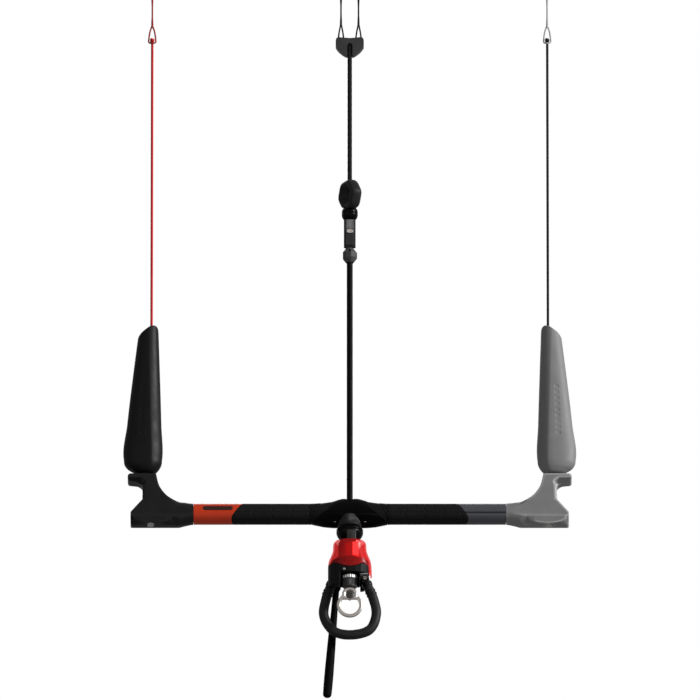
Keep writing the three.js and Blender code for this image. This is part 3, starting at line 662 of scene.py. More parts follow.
for side, label, line_slot, line_material, fly_slot, fly_material in (
    (-1, "left", "cord_red", RED_LINE, "cord_dark_red", DARK_LINE),
    (1, "right", "cord_black", BLACK_LINE, "cord_grey", PALE_LINE),
):
    x = side * LINE_X
    body = f"float_{label}"
    knot_line = [(x + 1.3 * math.sin(a), 1.3 * math.cos(a), LEADER_TOP - 2 + 1.5 * math.sin(2 * a))
                 for a in np.linspace(0, 4.4 * math.pi, 70)]
    knot = dress(braid(knot_line, 1.35, 8, 3.2, 0.4, 14), f"leader_{label}_stopper_knot", body, line_slot,
                 line_material)
    route = straight(x, 0, 215, LEADER_TOP - 1)
    leader = braid(route, 1.5, 8, 4.6, 0.5, 20)
    dress(leader, f"leader_{label}_braid", body, line_slot, line_material, f"leader_{label}")
    throat, reach = 603, 3.9
    lower = curve_through([
        (x, 0, throat + 2), (x - 2.6, 0, throat - 6), (x - reach, 0, LEADER_TOP),
        (x - reach, -0.6, LEADER_TOP - 4.5), (x, -2.9, LEADER_TOP - 6.6),
        (x + reach, -0.6, LEADER_TOP - 4.5), (x + reach, 0, LEADER_TOP),
        (x + 2.6, 0, throat - 6), (x, 0, throat + 2),
    ], 110)
    spliced(f"flying_line_{label}_braid", body, fly_slot, fly_material, x, 0, throat, lower,
            f"flying_line_{label}")

# The trim line runs inside its cleat, and shortens from its fixed top end as the cleat climbs it.
TRIM_TOP = 580.0
TRIM_LOW = 371.0
trim = braid(straight(0, 0, TRIM_LOW, TRIM_TOP), 2.65, 12, 9, 0.6, 30)
dress(trim, "trim_line_braid", "kite_side", "cord_black",
      cordage("cord_trim", 0.01), "trim_line")
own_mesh(trim)

# ---- yoke ----------------------------------------------------------------------------------------

yoke_low, yoke_top = 566.5, 589.2
half = bent((0, yoke_low), (4.5, yoke_low), ((12.5, yoke_low + 4.5), (16.4, yoke_low + 11.5)),
            (16.4, yoke_top - 4.4), ((16.4, yoke_top), (12, yoke_top)), ((6, yoke_top - 0.9),
                                                                         (0, yoke_top - 1.1)))
outline = half + [(-x, z) for x, z in reversed(half[1:-1])]
yoke = prism(outline, -3.6, 6)
lower_bevels = [prism([(s * 18, yoke_low - 1), (s * 18, yoke_low + 9), (s * 5.5, yoke_low - 1)], -5, -1.6)
                for s in (-1, 1)]
pockets = [block((s * FRONT_X - 4.3, FRONT_Y - 2.6, YOKE_PIN_Z - 4),
                 (s * FRONT_X + 4.3, FRONT_Y + 2.6, yoke_top + 2))
           for s in (-1, 1)]
groove = [turned([(0, 560), (2.95, 560), (2.95, 581), (0, 581)], 32),
          block((-2.95, -5, 560), (2.95, 0, 578.5)),
          pin(2.95, 0, 578.5, -5, 0)]
cut(yoke, *pockets, *groove, *lower_bevels)
softened(yoke, 0.4, 5)
dress(yoke, "yoke_body", "kite_side", "black_plastic", YOKE, "yoke")

# ---- trim cleat, webbing and centre tube ---------------------------------------------------------

head = turned(
    [(2.95, 363.5), (6.2, 363.5), (7.6, 364.3), (8.9, 366.4), (9.4, 368.6), (9.4, 369.6), (8.9, 369.9),
     (8.9, 370.7), (9.4, 371), (9.4, 373), (8.8, 375.4), (7.6, 377.2), (6.2, 378), (2.95, 378), (2.95,
                                                                                                 363.5)], 64)
dress(bevelled(head, 0.25, 2), "cleat_head_turned", "depower", "black_gloss", GLOSS, "trim_cleat_head",
      sharp=50)

WEB_LOW, WEB_TOP = 329.0, 363.2
rings = []
for z in np.linspace(WEB_LOW, WEB_TOP, 130):
    c, s, k = boxed(circle(72), 5)
    x, y = 6.5 * c * k, 2.9 * s * k
    piping = np.clip((np.abs(x) - 5.4) / 0.8, 0, 1)
    weave = 0.07 * np.cos(2 * np.pi * z / 0.9) * np.cos(2 * np.pi * x / 1.1)
    y = y * (1 + 0.12 * piping) + np.sign(y) * weave * (1 - piping)
    rings.append(np.c_[x * (1 + 0.05 * piping), y, np.full(72, z)])
dress(loft(rings), "webbing_woven", "depower", "black_plastic", cordage("webbing_edge", 0.02),
      "trim_webbing")


def patch(z0, z1, relief):
    """A sewn panel on the webbing's front; relief gives its height over (x, z) in millimetres."""
    nx, nz = 60, int((z1 - z0) / 0.15)
    xs, zs = np.linspace(-5, 5, nx), np.linspace(z0, z1, nz)
    gx, gz = np.meshgrid(xs, zs)
    rim = np.clip(np.minimum(5 - np.abs(gx), np.minimum(gz - z0, z1 - gz)) / 0.5, 0, 1) ** 0.5
    y = -3.5 - 0.75 * rim - relief(gx, gz) * rim
    front = np.stack([gx.ravel(), y.ravel(), gz.ravel()], 1)
    back = front.copy()
    back[:, 1] = -3.4
    faces = []
    for a, flip in ((0, False), (nx * nz, True)):
        for j in range(nz - 1):
            for i in range(nx - 1):
                f = (a + j * nx + i, a + j * nx + i + 1, a + (j + 1) * nx + i + 1, a + (j + 1) * nx + i)
                faces.append(f[::-1] if flip else f)
    edge = [*range(nx), *range(2 * nx - 1, nx * nz, nx), *range(nx * nz - 2, nx * (nz - 1) - 1, -1),
            *range(nx * (nz - 2), 0, -nx)]
    n = nx * nz
    faces += [(a, b, b + n, a + n) for a, b in zip(edge, edge[1:] + edge[:1])]
    return solid(np.concatenate([front, back]), faces)


def twill(x, z):
    return 0.09 * np.cos(2 * np.pi * (x + z) / 1.0) * np.cos(2 * np.pi * (x - z) / 1.0)


upper = patch(345.2, 362.6, twill)
dress(upper, "stitched_panel_woven", "depower", "webbing", WEB, "stitch_panel_upper")
zigzag = []
rows_of_stitch = 9
for j in range(rows_of_stitch * 2 + 1):
    zigzag.append(((-3.9 if j % 2 else 3.9), -4.32, 351.6 + j * 10.4 / (rows_of_stitch * 2)))
thread_line = np.concatenate([np.linspace(a, b, 12, endpoint=False) for a, b in zip(zigzag, zigzag[1:])])
dress(sweep(thread_line, 0.24, 8), "zigzag_stitching", "depower", "webbing", THREAD)
lower = patch(330.5, 344.6, lambda x, z: 0.14 * np.cos(2 * np.pi * z / 0.95))
dress(lower, "ribbed_panel", "depower", "cord_black", cordage("webbing_dark", 0.035),
      "stitch_panel_lower")
badge = turned([(0, 0), (3.1, 0), (3.35, 0.2), (3.35, 0.6), (3.0, 0.85), (2.5, 0.7), (0, 0.7)], 48,
               (0, -4.35, 347.6), (0, -1, 0))
p = millimetres(badge)
p[:, 0] *= 1.1
p[:, 2] = 347.9 + (p[:, 2] - 347.6) * 0.72
reshape(badge, p)
dress(badge, "oval_badge", "depower", "steel", moulded("badge", (0.52, 0.47, 0.44), 0.4, vary=0.1),
      "trim_badge")

JOINT_Z = 318.8
profile = [(9.05 * math.cos(a), JOINT_Z + 10.1 * math.sin(a)) for a in np.linspace(-1.02, 1.02, 4)]
ball = turned([(0, profile[0][1]), *profile, (0, profile[-1][1])], 9)
cut(ball, turned([(0, 300), (3.8, 300), (3.8, JOINT_Z - 1), (0, JOINT_Z - 1)], 32),
    pin(1.5, 0, JOINT_Z + 4.4, -11, -4))
dress(bevelled(ball, 0.35, 2, 15), "tube_joint_faceted", "depower", "grey_plastic",
      moulded("joint_plastic", 0.06, 0.5, depth=0.012, gloss=0.12), "tube_joint", sharp=12)

z = np.linspace(-21.4, JOINT_Z - 1.4, 620)
ripple = 3.5 + 0.02 * np.sin(z * 0.31 + 1)
around = circle(40)
rings = [ring_at(r, h, around) for h, r in zip(z, ripple)]
bore = [ring_at(2.1, h, around) for h in (z[-1], z[0])]
tube = loft([*rings, *bore, rings[0]], caps=False)
dress(tube, "center_tube_sheathed", "depower", "black_gloss",
      moulded("tube_sheath", 0.003, 0.5, 900, 0.004, 0.15, 1.0, gloss=0.05), "center_tube")

opening = Vector((-0.87, -0.48, -0.1)).normalized()
bowl = turned(
    [(0, -1.2), (2.4, -1.2), (5, -0.2), (8.6, 2.6), (11.6, 5.5), (13.2, 7), (14.6, 7.2), (16.2, 6.8),
     (17.6, 5.6),
     (18.3, 3), (18.6, 0), (18.3, -3), (17.2, -5.4), (15.8, -6.6), (14.2, -7), (9, -6.6), (0, -6.6)],
    80, (0.35, -7.8, 391), opening)
p = (millimetres(bowl) - [0.35, -7.8, 391])
out = p - np.outer(p @ np.array(opening), np.array(opening))
cross = np.array(opening.cross(Vector((0, 0, 1))).normalized())
lift = np.cross(np.array(opening), cross)
turn = np.arctan2(p @ lift, p @ cross)
p -= out * (0.07 * np.abs(np.sin(3 * turn)) ** 1.5)[:, None]  # six soft sides, as the rim has
reshape(bowl, p + [0.35, -7.8, 391])
cut(bowl, turned([(0, 350), (2.95, 350), (2.95, 430), (0, 430)], 40),
    turned([(0, 350), (9.8, 350), (9.8, 378.4), (0, 378.4)], 48))
softened(bowl, 0.45, 3)
dress(bowl, "toggle_bowl", "toggle", "black_plastic",
      moulded("toggle_plastic", 0.015, 0.45, 900, 0.012, 0.15, gloss=0.15), "trim_toggle")

# ---- hub, collar and grips -----------------------------------------------------------------------

HUB_HALF = 47.7
HUB_TOP = [(0, 19.4), (8, 19.2), (12.5, 18.2), (21, 15.3), (33, 13.3), (41, 12.5), (47.7, 12.2)]
HUB_LOW = [(0, 16.6), (16, 16.6), (21, 16.4), (30, 15.5), (38, 13.8), (44, 12.5), (47.7, 12.2)]
HUB_DEEP = [(0, 13.6), (14, 13.6), (24, 13.4), (34, 12.9), (42, 12.4), (47.7, 12.2)]
GROOVES = [-9, 23, 55, 98, 141, 184, 227, 265, 308]  # lengthwise grooves, degrees up from the front


def brick(x, angle):
    """Depth share of the grip's moulded grooves: lengthwise ones, and slanting ones in staggered rows."""
    deep = np.zeros_like(angle)
    for k, line in enumerate(GROOVES):
        following = GROOVES[k + 1] if k + 1 < len(GROOVES) else GROOVES[0] + 360
        off = (angle - line + 180) % 360 - 180
        deep = np.maximum(deep, np.exp(-(off / 3.0) ** 4))
        inside = (angle - line) % 360
        in_row = inside < following - line
        place = (x + inside * 0.09 + (k % 2) * 11) % 22
        apart = np.minimum(place, 22 - place)
        deep = np.maximum(deep, np.where(in_row, 0.8 * np.exp(-(apart / 0.55) ** 4), 0))
    return deep


def angle_up(p):
    """Degrees round the bar from its front towards its top."""
    return np.degrees(np.arctan2(p[:, 2], -p[:, 1]))


LEAF = [(-13, 44.2, 44.4), (-10, 40.5, 43.6), (-8, 38.2, 43), (-4, 33, 41.5), (0, 28, 39.4), (4, 24.2, 37),
        (8, 22, 35), (13, 20.4, 33), (18, 20, 32)]  # height, inner edge, outer edge

rings = []
for x in np.linspace(-HUB_HALF, HUB_HALF, 191):
    a = abs(x)
    high, low, deep = (np.interp(a, *zip(*t)) for t in (HUB_TOP, HUB_LOW, HUB_DEEP))
    t = min(1, (HUB_HALF - a) / 30)
    ease = t * t * (3 - 2 * t)
    around = circle(120)
    c, s = np.cos(around), np.sin(around)
    # Rounder above the ridge than below it, and roundest low at the back.
    power = 2 - np.where(s > 0, 0.42, np.where(c < 0, 0.7, 0.15)) * ease
    k = (np.abs(c) ** power + np.abs(s) ** power) ** (-1 / power)
    z = s * k * np.where(s > 0, high, low) - 3.3 * ease * (c * k) ** 2
    rings.append(np.c_[np.full(120, x), deep * c * k, z])
hub = loft(rings)
around = circle(64)
slot = loft([np.c_[6.1 * np.cos(around), 4 * np.sin(around), np.full(64, h)] for h in (5, 25)])
cut(hub, turned([(0, -25), (14.6, -25), (14.6, -2.7), (8.8, -2.7), (8.8, 2), (7.6, 5.5), (5.5, 8), (0, 8)],
                64), slot,
    *[turned([(0, -20), (2.2, -20), (2.2, -10), (0, -10)], 24, (x, y, 0)) for x in (-17.4, 17.4)
      for y in (-6.4, 6.4)],
    *[loft([np.c_[np.full(64, s * x), 9.8 * np.cos(around), 9.8 * np.sin(around)] for x in (19.5, 49)])
      for s in (-1, 1)])
softened(hub, 0.55, 2)
p = millimetres(hub)
n = normals(hub)
heights, inner, outer = zip(*LEAF)
a = np.abs(p[:, 0])
edge_in = a - np.interp(p[:, 2], heights, inner)
edge_out = np.interp(p[:, 2], heights, outer) - a
front = np.linalg.norm(p[:, 1:], axis=1) > 9.5
leaf = np.clip(np.minimum(edge_in, edge_out) / 0.5 + 0.5, 0, 1) * front * (p[:, 2] > -13)
beyond = np.clip(-edge_out / 0.5 - 0.3, 0, 1) * front
rim = np.exp(-(edge_out / 0.5) ** 2) * front * (edge_in > -0.5)
p -= n * (0.3 * leaf + 0.35 * rim + 0.5 * beyond * brick(p[:, 0], angle_up(p)))[:, None]
reshape(hub, p)
tag(hub, "leaf", leaf)
tag(hub, "beyond", beyond)

net = Net("hub_gloss")
mottle = net.noise(60, 4)
hub_color = net.mix(net.spread(mottle, 0, 1), (0.0008, 0.0008, 0.0009, 1), (0.0014, 0.0014, 0.0016, 1))
hub_color = net.mix(net.attribute("leaf"), hub_color, (0.0075, 0.0075, 0.0075, 1))
hub_color = net.mix(net.attribute("beyond"), hub_color, (0.0062, 0.0062, 0.0062, 1))
hub_rough = net.add("MapRange", {"Value": net.math("MAXIMUM", net.attribute("leaf"), net.attribute("beyond")),
                                 "To Min": 0.2, "To Max": 0.6}).outputs[0]
HUB = net.done(net.add("BsdfPrincipled", {
    "Base Color": hub_color, "Roughness": hub_rough, "Specular IOR Level": 0.06,
    "Normal": net.bump(net.noise(1100, 5), 0.008),
}).outputs[0])


def halved(obj, side):
    """The part of the hub in front of (side -1) or behind (side 1) its parting line."""
    part = bpy.data.objects.new("half", obj.data.copy())
    scene.collection.objects.link(part)
    bm = bmesh.new()
    bm.from_mesh(part.data)
    made = bmesh.ops.bisect_plane(bm, geom=[*bm.verts, *bm.edges, *bm.faces],
                                  plane_co=(0, side * 0.12 * MM, 0),
                                  plane_no=(0, -side, 0), clear_outer=True)
    rim = [e for e in made["geom_cut"] if isinstance(e, bmesh.types.BMEdge)]
    bmesh.ops.holes_fill(bm, edges=rim)
    bm.to_mesh(part.data)
    bm.free()
    return part


dress(halved(hub, -1), "hub_front", "bar", "black_gloss", HUB, "hub_shell_front", sharp=60)
dress(halved(hub, 1), "hub_back", "bar", "black_gloss", HUB, "hub_shell_back", sharp=60)
bpy.data.objects.remove(hub)

collar = ((8.2, -16.5, 0), (12.1, -16.5, 0), (13.2, -15.9, 0), (14.0, -14.6, 0), (14.0, -14.2, 0),
                  (13.6, -13.9, 1), (13.9, -13.4, 1), (13.9, -9, 1), (13.9, -4.4, 1), (13.6, -3.4, 1), (13.0,
                                                                                                        -3,
                                                                                                        0),
                  (8.8, -3, 0), (8.2, -4.4, 0), (8.2, -16.5, 0))
dress(loft(fluted(collar, 72, 6, 0.28, power=2), caps=False), "ribbed_collar", "bar", "black_plastic",
      moulded("collar_plastic", 0.018, 0.4, 1000, 0.01, 0.15, gloss=0.2), "hub_bumper", sharp=35)

dress(turned([(3.8, -7.6), (5.4, -6.7), (7.2, -4.6), (8.4, -1.6), (8.5, 0), (8.4, 1.6), (7.2, 4.6),
              (5.4, 6.7),
              (3.8, 7.6), (3.8, -7.6)], 64), "bushing_ball", "bushing", "steel", STEEL, "center_bushing")

for index, (x, y) in enumerate([(-17.4, -6.4), (17.4, -6.4), (-17.4, 6.4), (17.4, 6.4)], 1):
    screw = turned([(0, -12.8), (1.2, -12.8), (1.75, -12.5), (2, -12), (2, -11.4), (1, -11.4), (1, -10.9),
                    (0, -10.9)], 32, (x, y, 0))
    cut(screw, block((x - 1.1, y - 0.28, -15), (x + 1.1, y + 0.28, -12.2)),
        block((x - 0.28, y - 1.1, -15), (x + 0.28, y + 1.1, -12.2)))
    dress(screw, f"hub_screw_{index}_cross", "bar", "steel", DARK_STEEL, f"hub_screw_{index}", sharp=30)


def boundary(z):
    """How far out the S-shaped edge between grip and colour sleeve lies at a height."""
    line = bent((136.5 - 1, -12.5), ((138, -9.5), (136.5, -6)), ((131.5, 1), (125.5, 11), (121.5, 12.5)),
                steps=20)
    xs, zs = np.array(line).T
    return np.interp(z, zs, xs)


def wrapped(inner, outer, relief, across, side):
    """A sleeve round the bar tube: inner and outer give its ends at each angle, relief sinks its surface."""
    around = circle(160)
    y, z = -np.cos(around), np.sin(around)
    start, end = inner(GRIP_R * z), outer(GRIP_R * z)
    rings = [np.c_[start * side, 9.8 * y, 9.8 * z]]
    count = int(across / 0.5)
    for k in range(count + 1):
        share = k / count
        x = start + (end - start) * share
        margin = np.minimum(x - start, end - x)
        r = GRIP_R - relief(x, np.degrees(around)) - 0.15 * np.exp(-(margin / 0.3) ** 2)
        rings.append(np.c_[x * side, r * y, r * z])
    rings += [np.c_[end * side, 9.8 * y, 9.8 * z], rings[0]]
    return loft(rings, caps=False)


def flat(value):
    return lambda z: np.full(len(z), float(value))


LABEL_ANGLE = 18  # degrees up from the front


def slate_relief(x, angle):
    return 0.5 * np.exp(-(((angle + 9 + 180) % 360 - 180) / 4.2) ** 4)


def label_panel(x, angle):
    """1 inside the blank label on the orange sleeve, a bar with rounded corners."""
    up = ((angle - LABEL_ANGLE + 180) % 360 - 180) / 180 * math.pi * GRIP_R
    along, across = np.abs(x - 153) - 14.4, np.abs(up) - 0.2
    corner = np.hypot(np.maximum(along, 0), np.maximum(across, 0))
    return np.clip((3.0 - corner) / 0.5 + 0.5, 0, 1)


def orange_relief(x, angle):
    return 0.22 * label_panel(x, angle)


def panelled(name, dark, pale, panel, rough, gloss):
    """A mottled moulding with another colour where the tag "panel" is set."""
    net = Net(name)
    mottle = net.noise(60, 4)
    color = net.mix(net.spread(mottle, 0, 1), rgb(dark), rgb(pale))
    return net.done(net.add("BsdfPrincipled", {
        "Base Color": net.mix(net.attribute("panel"), color, rgb(panel)), "Roughness": net.spread(mottle,
                                                                                                  *rough),
        "Specular IOR Level": gloss, "Normal": net.bump(net.noise(1200, 5), 0.01),
    }).outputs[0])


for side, label in ((-1, "left"), (1, "right")):
    grip = wrapped(flat(47.4), lambda z: boundary(z) - 0.15, lambda x, a: 0.55 * brick(x * side, a), 84, side)
    dress(grip, f"grip_{label}_grooved", "bar", "grip_foam", FOAM, f"grip_{label}", sharp=60)

label_shape = wrapped(lambda z: boundary(z) + 0.15, flat(SLEEVE_END - 0.1), orange_relief, 52, -1)
p = millimetres(label_shape)
tag(label_shape, "panel", label_panel(-p[:, 0], angle_up(p)))
ORANGE_PANEL = panelled("orange_panelled", (0.55, 0.036, 0.0065), (0.60, 0.041, 0.0075),
                        (0.032, 0.009, 0.006),
                        (0.36, 0.42), 0.3)
dress(label_shape, "colour_sleeve_left_shell", "bar", "orange_sleeve", ORANGE_PANEL, "colour_sleeve_left",
      sharp=60)
slate = wrapped(lambda z: boundary(z) + 0.15, flat(SLEEVE_END - 0.1), slate_relief, 52, 1)
p = millimetres(slate)
stripe = np.clip(slate_relief(p[:, 0], angle_up(p)) * 2.6, 0, 1)
tag(slate, "panel", stripe)
SLATE_STRIPE = panelled("slate_striped", (0.068, 0.070, 0.080), (0.076, 0.078, 0.090), (0.004, 0.004, 0.006),
                        (0.32, 0.38), 0.35)
dress(slate, "colour_sleeve_right_shell", "bar", "slate_sleeve", SLATE_STRIPE, "colour_sleeve_right",
      sharp=60)

# ---- bar ends ------------------------------------------------------------------------------------

KEEL_Z = -16.0
RIDGE_Z = -5.8
PLATE_D = 12.5  # half the thickness of the plate above the pad
END_START = SLEEVE_END + 0.15
top_edge = curve_through([(224.3, 46.3), (220, 30.3), (210, 17.9), (200, 13.4), (190, 12.4),
                          (END_START, 12.2), (178, 12.2)], 34)
outline = bent(
    (178, -12.2), (END_START, -12.2), (200, KEEL_Z), (250.2, KEEL_Z), ((253.8, KEEL_Z),
                                                                       (253.8, KEEL_Z + 3.6)), (253.8, -1),
    (240.2, 14.5), (239.8, 29), ((240.2, 37), (247.8, 38)), (254, 38.6), ((257.2, 39), (257.2, 42)),
    (257.2, 42.4), ((257.2, 46.3), (253.3, 46.3)), *[tuple(p) for p in top_edge], steps=24)
end = prism(outline, -14.4, 14.4)


def end_section(x):
    """A thin plate above; in front a shoulder out to a pad whose lower edge bows down; a hull to the keel."""
    bow = math.sqrt(max(0, 1 - ((x - 228.6) / 22.6) ** 2))
    back = [(2.6, KEEL_Z - 1), (2.6, KEEL_Z), (10, KEEL_Z + 2.8), (14.3, RIDGE_Z), (PLATE_D, RIDGE_Z + 2.7),
            (PLATE_D, 60)]
    front = [(PLATE_D, 60), (PLATE_D, RIDGE_Z + 2.7), (14.3, RIDGE_Z),
             (14.3 - 1.2 * bow, RIDGE_Z - 9.4 * bow - 0.2), (7.5, KEEL_Z + 0.6), (2.6, KEEL_Z), (2.6,
                                                                                                 KEEL_Z - 1)]
    return [(x, y, z) for y, z in back] + [(x, -y, z) for y, z in front]


facets = loft([end_section(x) for x in [176, *np.linspace(206, 251.2, 41), 270]])


def envelope_ring(x, z, rz, ry, power):
    c, s, k = boxed(circle(96), power)
    return np.c_[np.full(96, x), ry * c * k, z + rz * s * k]


envelope = loft([envelope_ring(*r) for r in eased(
    [(178, 0, 12.35, 12.3, 2), (END_START, 0, 12.4, 12.3, 2), (190, -0.3, 13.7, 13, 2.1),
     (200, -0.6, 15.8, 13.9, 2.4),
     (210, 4, 22, 14.3, 3.4), (222, 20, 42, 14.4, 8), (270, 20, 42, 14.4, 8)], 60)])
common(end, facets, envelope)
horn = loft([[(x, -24, 41.6), (x, -24, 34), (x, -3 - out, 34), (x, -3 - out, 37.2), (x, -12.6 - out, 41.4)]
             for x, out in ((236, 10), (242, 0), (262, 0))])
neck = [loft([[(236.4 + d, s * 16, h), (242 + d, s * 16, h), (242 + d, s * 9.4, h), (236.4 + d, s * 12.7, h)]
              for h, d in ((14, 0.6), (35, -0.4))]) for s in (-1, 1)]
cut(end, horn, *neck)
softened(end, 0.6, 9)

SCREW = Vector((230.5, -6, -14.4))
SCREW_OUT = Vector((0, -0.62, -0.78))


def facing(points_up):
    """Turns a body drawn up the +Z axis so that it points out of the bar end's lower front, at the screw."""
    turn = Vector((0, 0, 1)).rotation_difference(SCREW_OUT).to_matrix().to_4x4()
    points_up.data.transform(Matrix.Translation(metres([SCREW])[0]) @ turn @ Matrix.Translation((0, 0,
                                                                                                 HANG * MM)))
    return points_up


cut(end, facing(turned([(0, -2.3), (5, -2.3), (5, 8), (0, 8)], 48)),
    turned([(0, 36), (4.6, 36), (4.6, 47), (0, 47)], 48, (LINE_X, 0, 0)),
    loft([envelope_ring(x, 0, 9.85, 9.85, 2) for x in (176, 205.5)]), block((170, -20, -20),
                                                                            (END_START, 20, 20)))
# A painted highlight along the bar ends' rounded edges, read by the moulded finish through the edge tag.
tag(end, "edge", edges_of(end) * (millimetres(end)[:, 0] > END_START + 1.5))
dress(end, "bar_end_right_moulding", "bar", "grey_plastic", GREY, "bar_end_right", sharp=50)
dress(mirrored(end), "bar_end_left_moulding", "bar", "black_plastic", BLACK, "bar_end_left", sharp=50)

screw = turned([(0, -1.9), (2.1, -1.9), (2.1, -1.4), (4.6, -1.4), (4.7, -0.9), (4.4, -0.3), (3.5, 0.1),
                (1.8, 0.35),
                (0, 0.4)], 56)
for turn in (8, 98):
    blade = block((-3.9, -0.8, -1.2), (3.9, 0.8, 1))
    blade.data.transform(Matrix.Translation((0, 0, -HANG * MM)) @ Matrix.Rotation(math.radians(turn), 4, "Z")
                         @ Matrix.Translation((0, 0, HANG * MM)))
    cut(screw, blade)
facing(bevelled(screw, 0.1, 2))
dress(screw, "end_screw_right_cross", "bar", "steel", STEEL, "end_screw_right", sharp=30)
dress(mirrored(screw), "end_screw_left_cross", "bar", "steel", STEEL, "end_screw_left", sharp=30)

for side, label, material in ((-1, "left", RED_LINE), (1, "right", BLACK_LINE)):
    coil = [(side * LINE_X + 2.1 * math.sin(a), 2.1 * math.cos(a), 40.3 + 1.6 * math.sin(1.5 * a))
            for a in np.linspace(0, 4 * math.pi, 80)]
    dress(braid(coil, 1.3, 8, 3.4, 0.5, 14), f"leader_knot_{label}_tied", "bar", "cord_black", material,
          f"leader_knot_{label}")

# ---- floats --------------------------------------------------------------------------------------

FLOAT_BASE, FLOAT_TOP = 48.9, 229.5
shape = eased([(48.9, 227.5, 245, 8), (50.5, 224.9, 249, 10.4), (52.4, 223, 251.8, 12),
               (55.5, 220.6, 256.8, 14),
               (60, 218.3, 260.6, 15.4), (67, 217.3, 261.9, 16), (110, 218.3, 258, 15.3),
               (235.5, 222.2, 243.6, 12.2)], 240)
rings = []
for z, low, high, deep in shape:
    ridge = 225.5 + (230.5 - 225.5) * (z - FLOAT_BASE) / (FLOAT_TOP - FLOAT_BASE)
    ridge = min(max(ridge, low + 4), high - 4) + 3.5
    c, s, k = boxed(circle(112), 2.6)
    u, v = c * k, s * k
    x = (low + high) / 2 + (high - low) / 2 * u
    away = np.where(x > ridge, (x - ridge) / (high - ridge), (ridge - x) / (ridge - low))
    y = deep * v * (1 - 0.17 * np.clip(away, 0, 1))
    rings.append(np.c_[x, y, np.full(112, z)])
floating = loft(rings)
crown = bent((210, 30), (275, 30), (275, 210), (246.8, 214), ((244.6, 218.6), (240, 222.2)), (231, 228.5),
             ((229, 229.5), (225.6, 229.5)), ((222.3, 229.1), (221.8, 224.5)), (210, 218), steps=12)
common(floating, prism(crown, -20, 20))
softened(floating, 0.8, 6)
p = millimetres(floating)
n = normals(floating)
# Nine plain raised dashes on the front of the outer flank.
front = np.clip((-n[:, 1] - 0.5) * 4, 0, 1)
down = (p[:, 2] - 92) / 7.2
row_number = np.floor(down)
inside = down - row_number
lean = 242.5 - 0.035 * (p[:, 2] - 92) - 0.5
dash = (np.clip((2.6 - np.abs(p[:, 0] - lean)) / 0.5, 0, 1) * np.clip((0.3 - np.abs(inside - 0.5)) / 0.07, 0,
                                                                      1)
        * (row_number >= 0) * (row_number < 9))
p -= n * (0.45 * dash * front)[:, None]
reshape(floating, p)
cut(floating, turned([(0, 30), (1.8, 30), (1.8, 240), (0, 240)], 24, (LINE_X, 0, 0)),
    turned([(0, 225.4), (3.6, 228.5), (4.4, 231), (0, 231)], 32, (LINE_X, 0, 0)))
pale = dress(floating, "float_right_foam", "float_right", "float_grey", FLOAT_PALE, "float_right", sharp=60)
dark = dress(mirrored(floating), "float_left_foam", "float_left", "float_black", FLOAT_DARK, "float_left",
             sharp=60)

# ---- swivel and quick release --------------------------------------------------------------------

cap = turned([(4.2, -21), (15.1, -21), (15.5, -20.7), (15.5, -19.7), (15.1, -19.1), (14.4, -18.8),
              (4.6, -18.8),
              (4.2, -19.2), (4.2, -21)], 72)
dress(cap, "swivel_cap_turned", "quick_release", "black_gloss", GLOSS, "swivel_cap", sharp=50)
cup = turned([(0, -42.8), (7.3, -42.8), (7.5, -42.5), (7.5, -32), (8.2, -31.7), (10.4, -31.2), (11.8, -30.3),
              (13.3, -29), (14.4, -27.4), (15.1, -25.6), (15.5, -24), (15.5, -21.7), (15.2, -21.3), (7,
                                                                                                     -21.3),
              (7, -29.4), (0, -29.4)], 72)
rim_room = turned([(0, -50), (15.7, -50), (15.7, -20), (0, -20)], 64)
post = common(prism([(-3.4, -37), (7.3, -37), (7.3, -24.2), (-3.4, -24.2)], -20, -9), rim_room)
cut(post, turned([(0, -50), (12.4, -50), (12.4, -30.6), (0, -30.6)], 48),
    prism([(4.4, -50), (10, -50), (10, -20), (5.2, -20)], -20, -14.6))
dress(bevelled(post, 0.35, 2), "swivel_post", "quick_release", "black_gloss", POST)
dress(cup, "swivel_cup_turned", "quick_release", "black_gloss", GLOSS, "swivel_cup", sharp=50)

SLEEVE_SHAPE = [(-83.2, 25.8, 19.1), (-76, 25.6, 19.05), (-66, 25.1, 19), (-60.5, 24.2, 18.9),
                (-54, 21.6, 18.85),
                (-48, 19.7, 18.8), (-44, 19.3, 18.75), (-40.5, 19.1, 18.6), (-38.6, 18.6, 18.2), (-37.4,
                                                                                                  17.4, 17.2),
                (-37, 16.7, 16.5)]


def oval(z, rx, ry, sides=112, power=2.2):
    c, s, k = boxed(circle(sides), power)
    return np.c_[rx * c * k, ry * s * k, np.full(sides, z)]


def above_wave(drop):
    """The outline above the sleeve's wavy lower edge, with the tongue down its right side."""
    return bent((30, -20), (-30, -20), (-30, -66 - drop), ((-18, -65 - drop), (-14.8, -66.7 - drop)),
                ((-7, -71.5 - drop), (0, -71.5 - drop)), ((7, -71.5 - drop), (14.2, -66.7 - drop)),
                ((18, -66 - drop), (21.4 - drop, -70 - drop)), (22 - drop, -79.6 - drop), (30, -79.6 - drop),
                steps=14)


outer = [oval(z, rx, ry) for z, rx, ry in eased(SLEEVE_SHAPE, 90)]
inner = [oval(z, rx - 1.6, ry - 1.6) for z, rx, ry in eased(SLEEVE_SHAPE, 90)]
inner[-1] = oval(-36.4, 15.4, 15.2)
inner[0] = oval(-84, 24.2, 17.5)
shell = loft(outer)
cut(shell, loft(inner), block((18, 4, -90), (30, 30, -70.5)))
common(shell, prism(above_wave(0), -30, 30))
softened(shell, 0.5, 4)
dress(raised(shell), "sleeve_shell", "sleeve", "red_clear", RED_CLEAR, "release_sleeve", sharp=60)
shelf = turned([(9.9, -58.7), (17, -58.7), (17, -57.3), (9.9, -57.3), (9.9, -58.7)], 72)
dress(raised(shelf), "sleeve_shelf", "sleeve", "red_clear", RED_CLEAR, sharp=40)

SPRING_LOW, SPRING_TOP = -54.1, -33.0

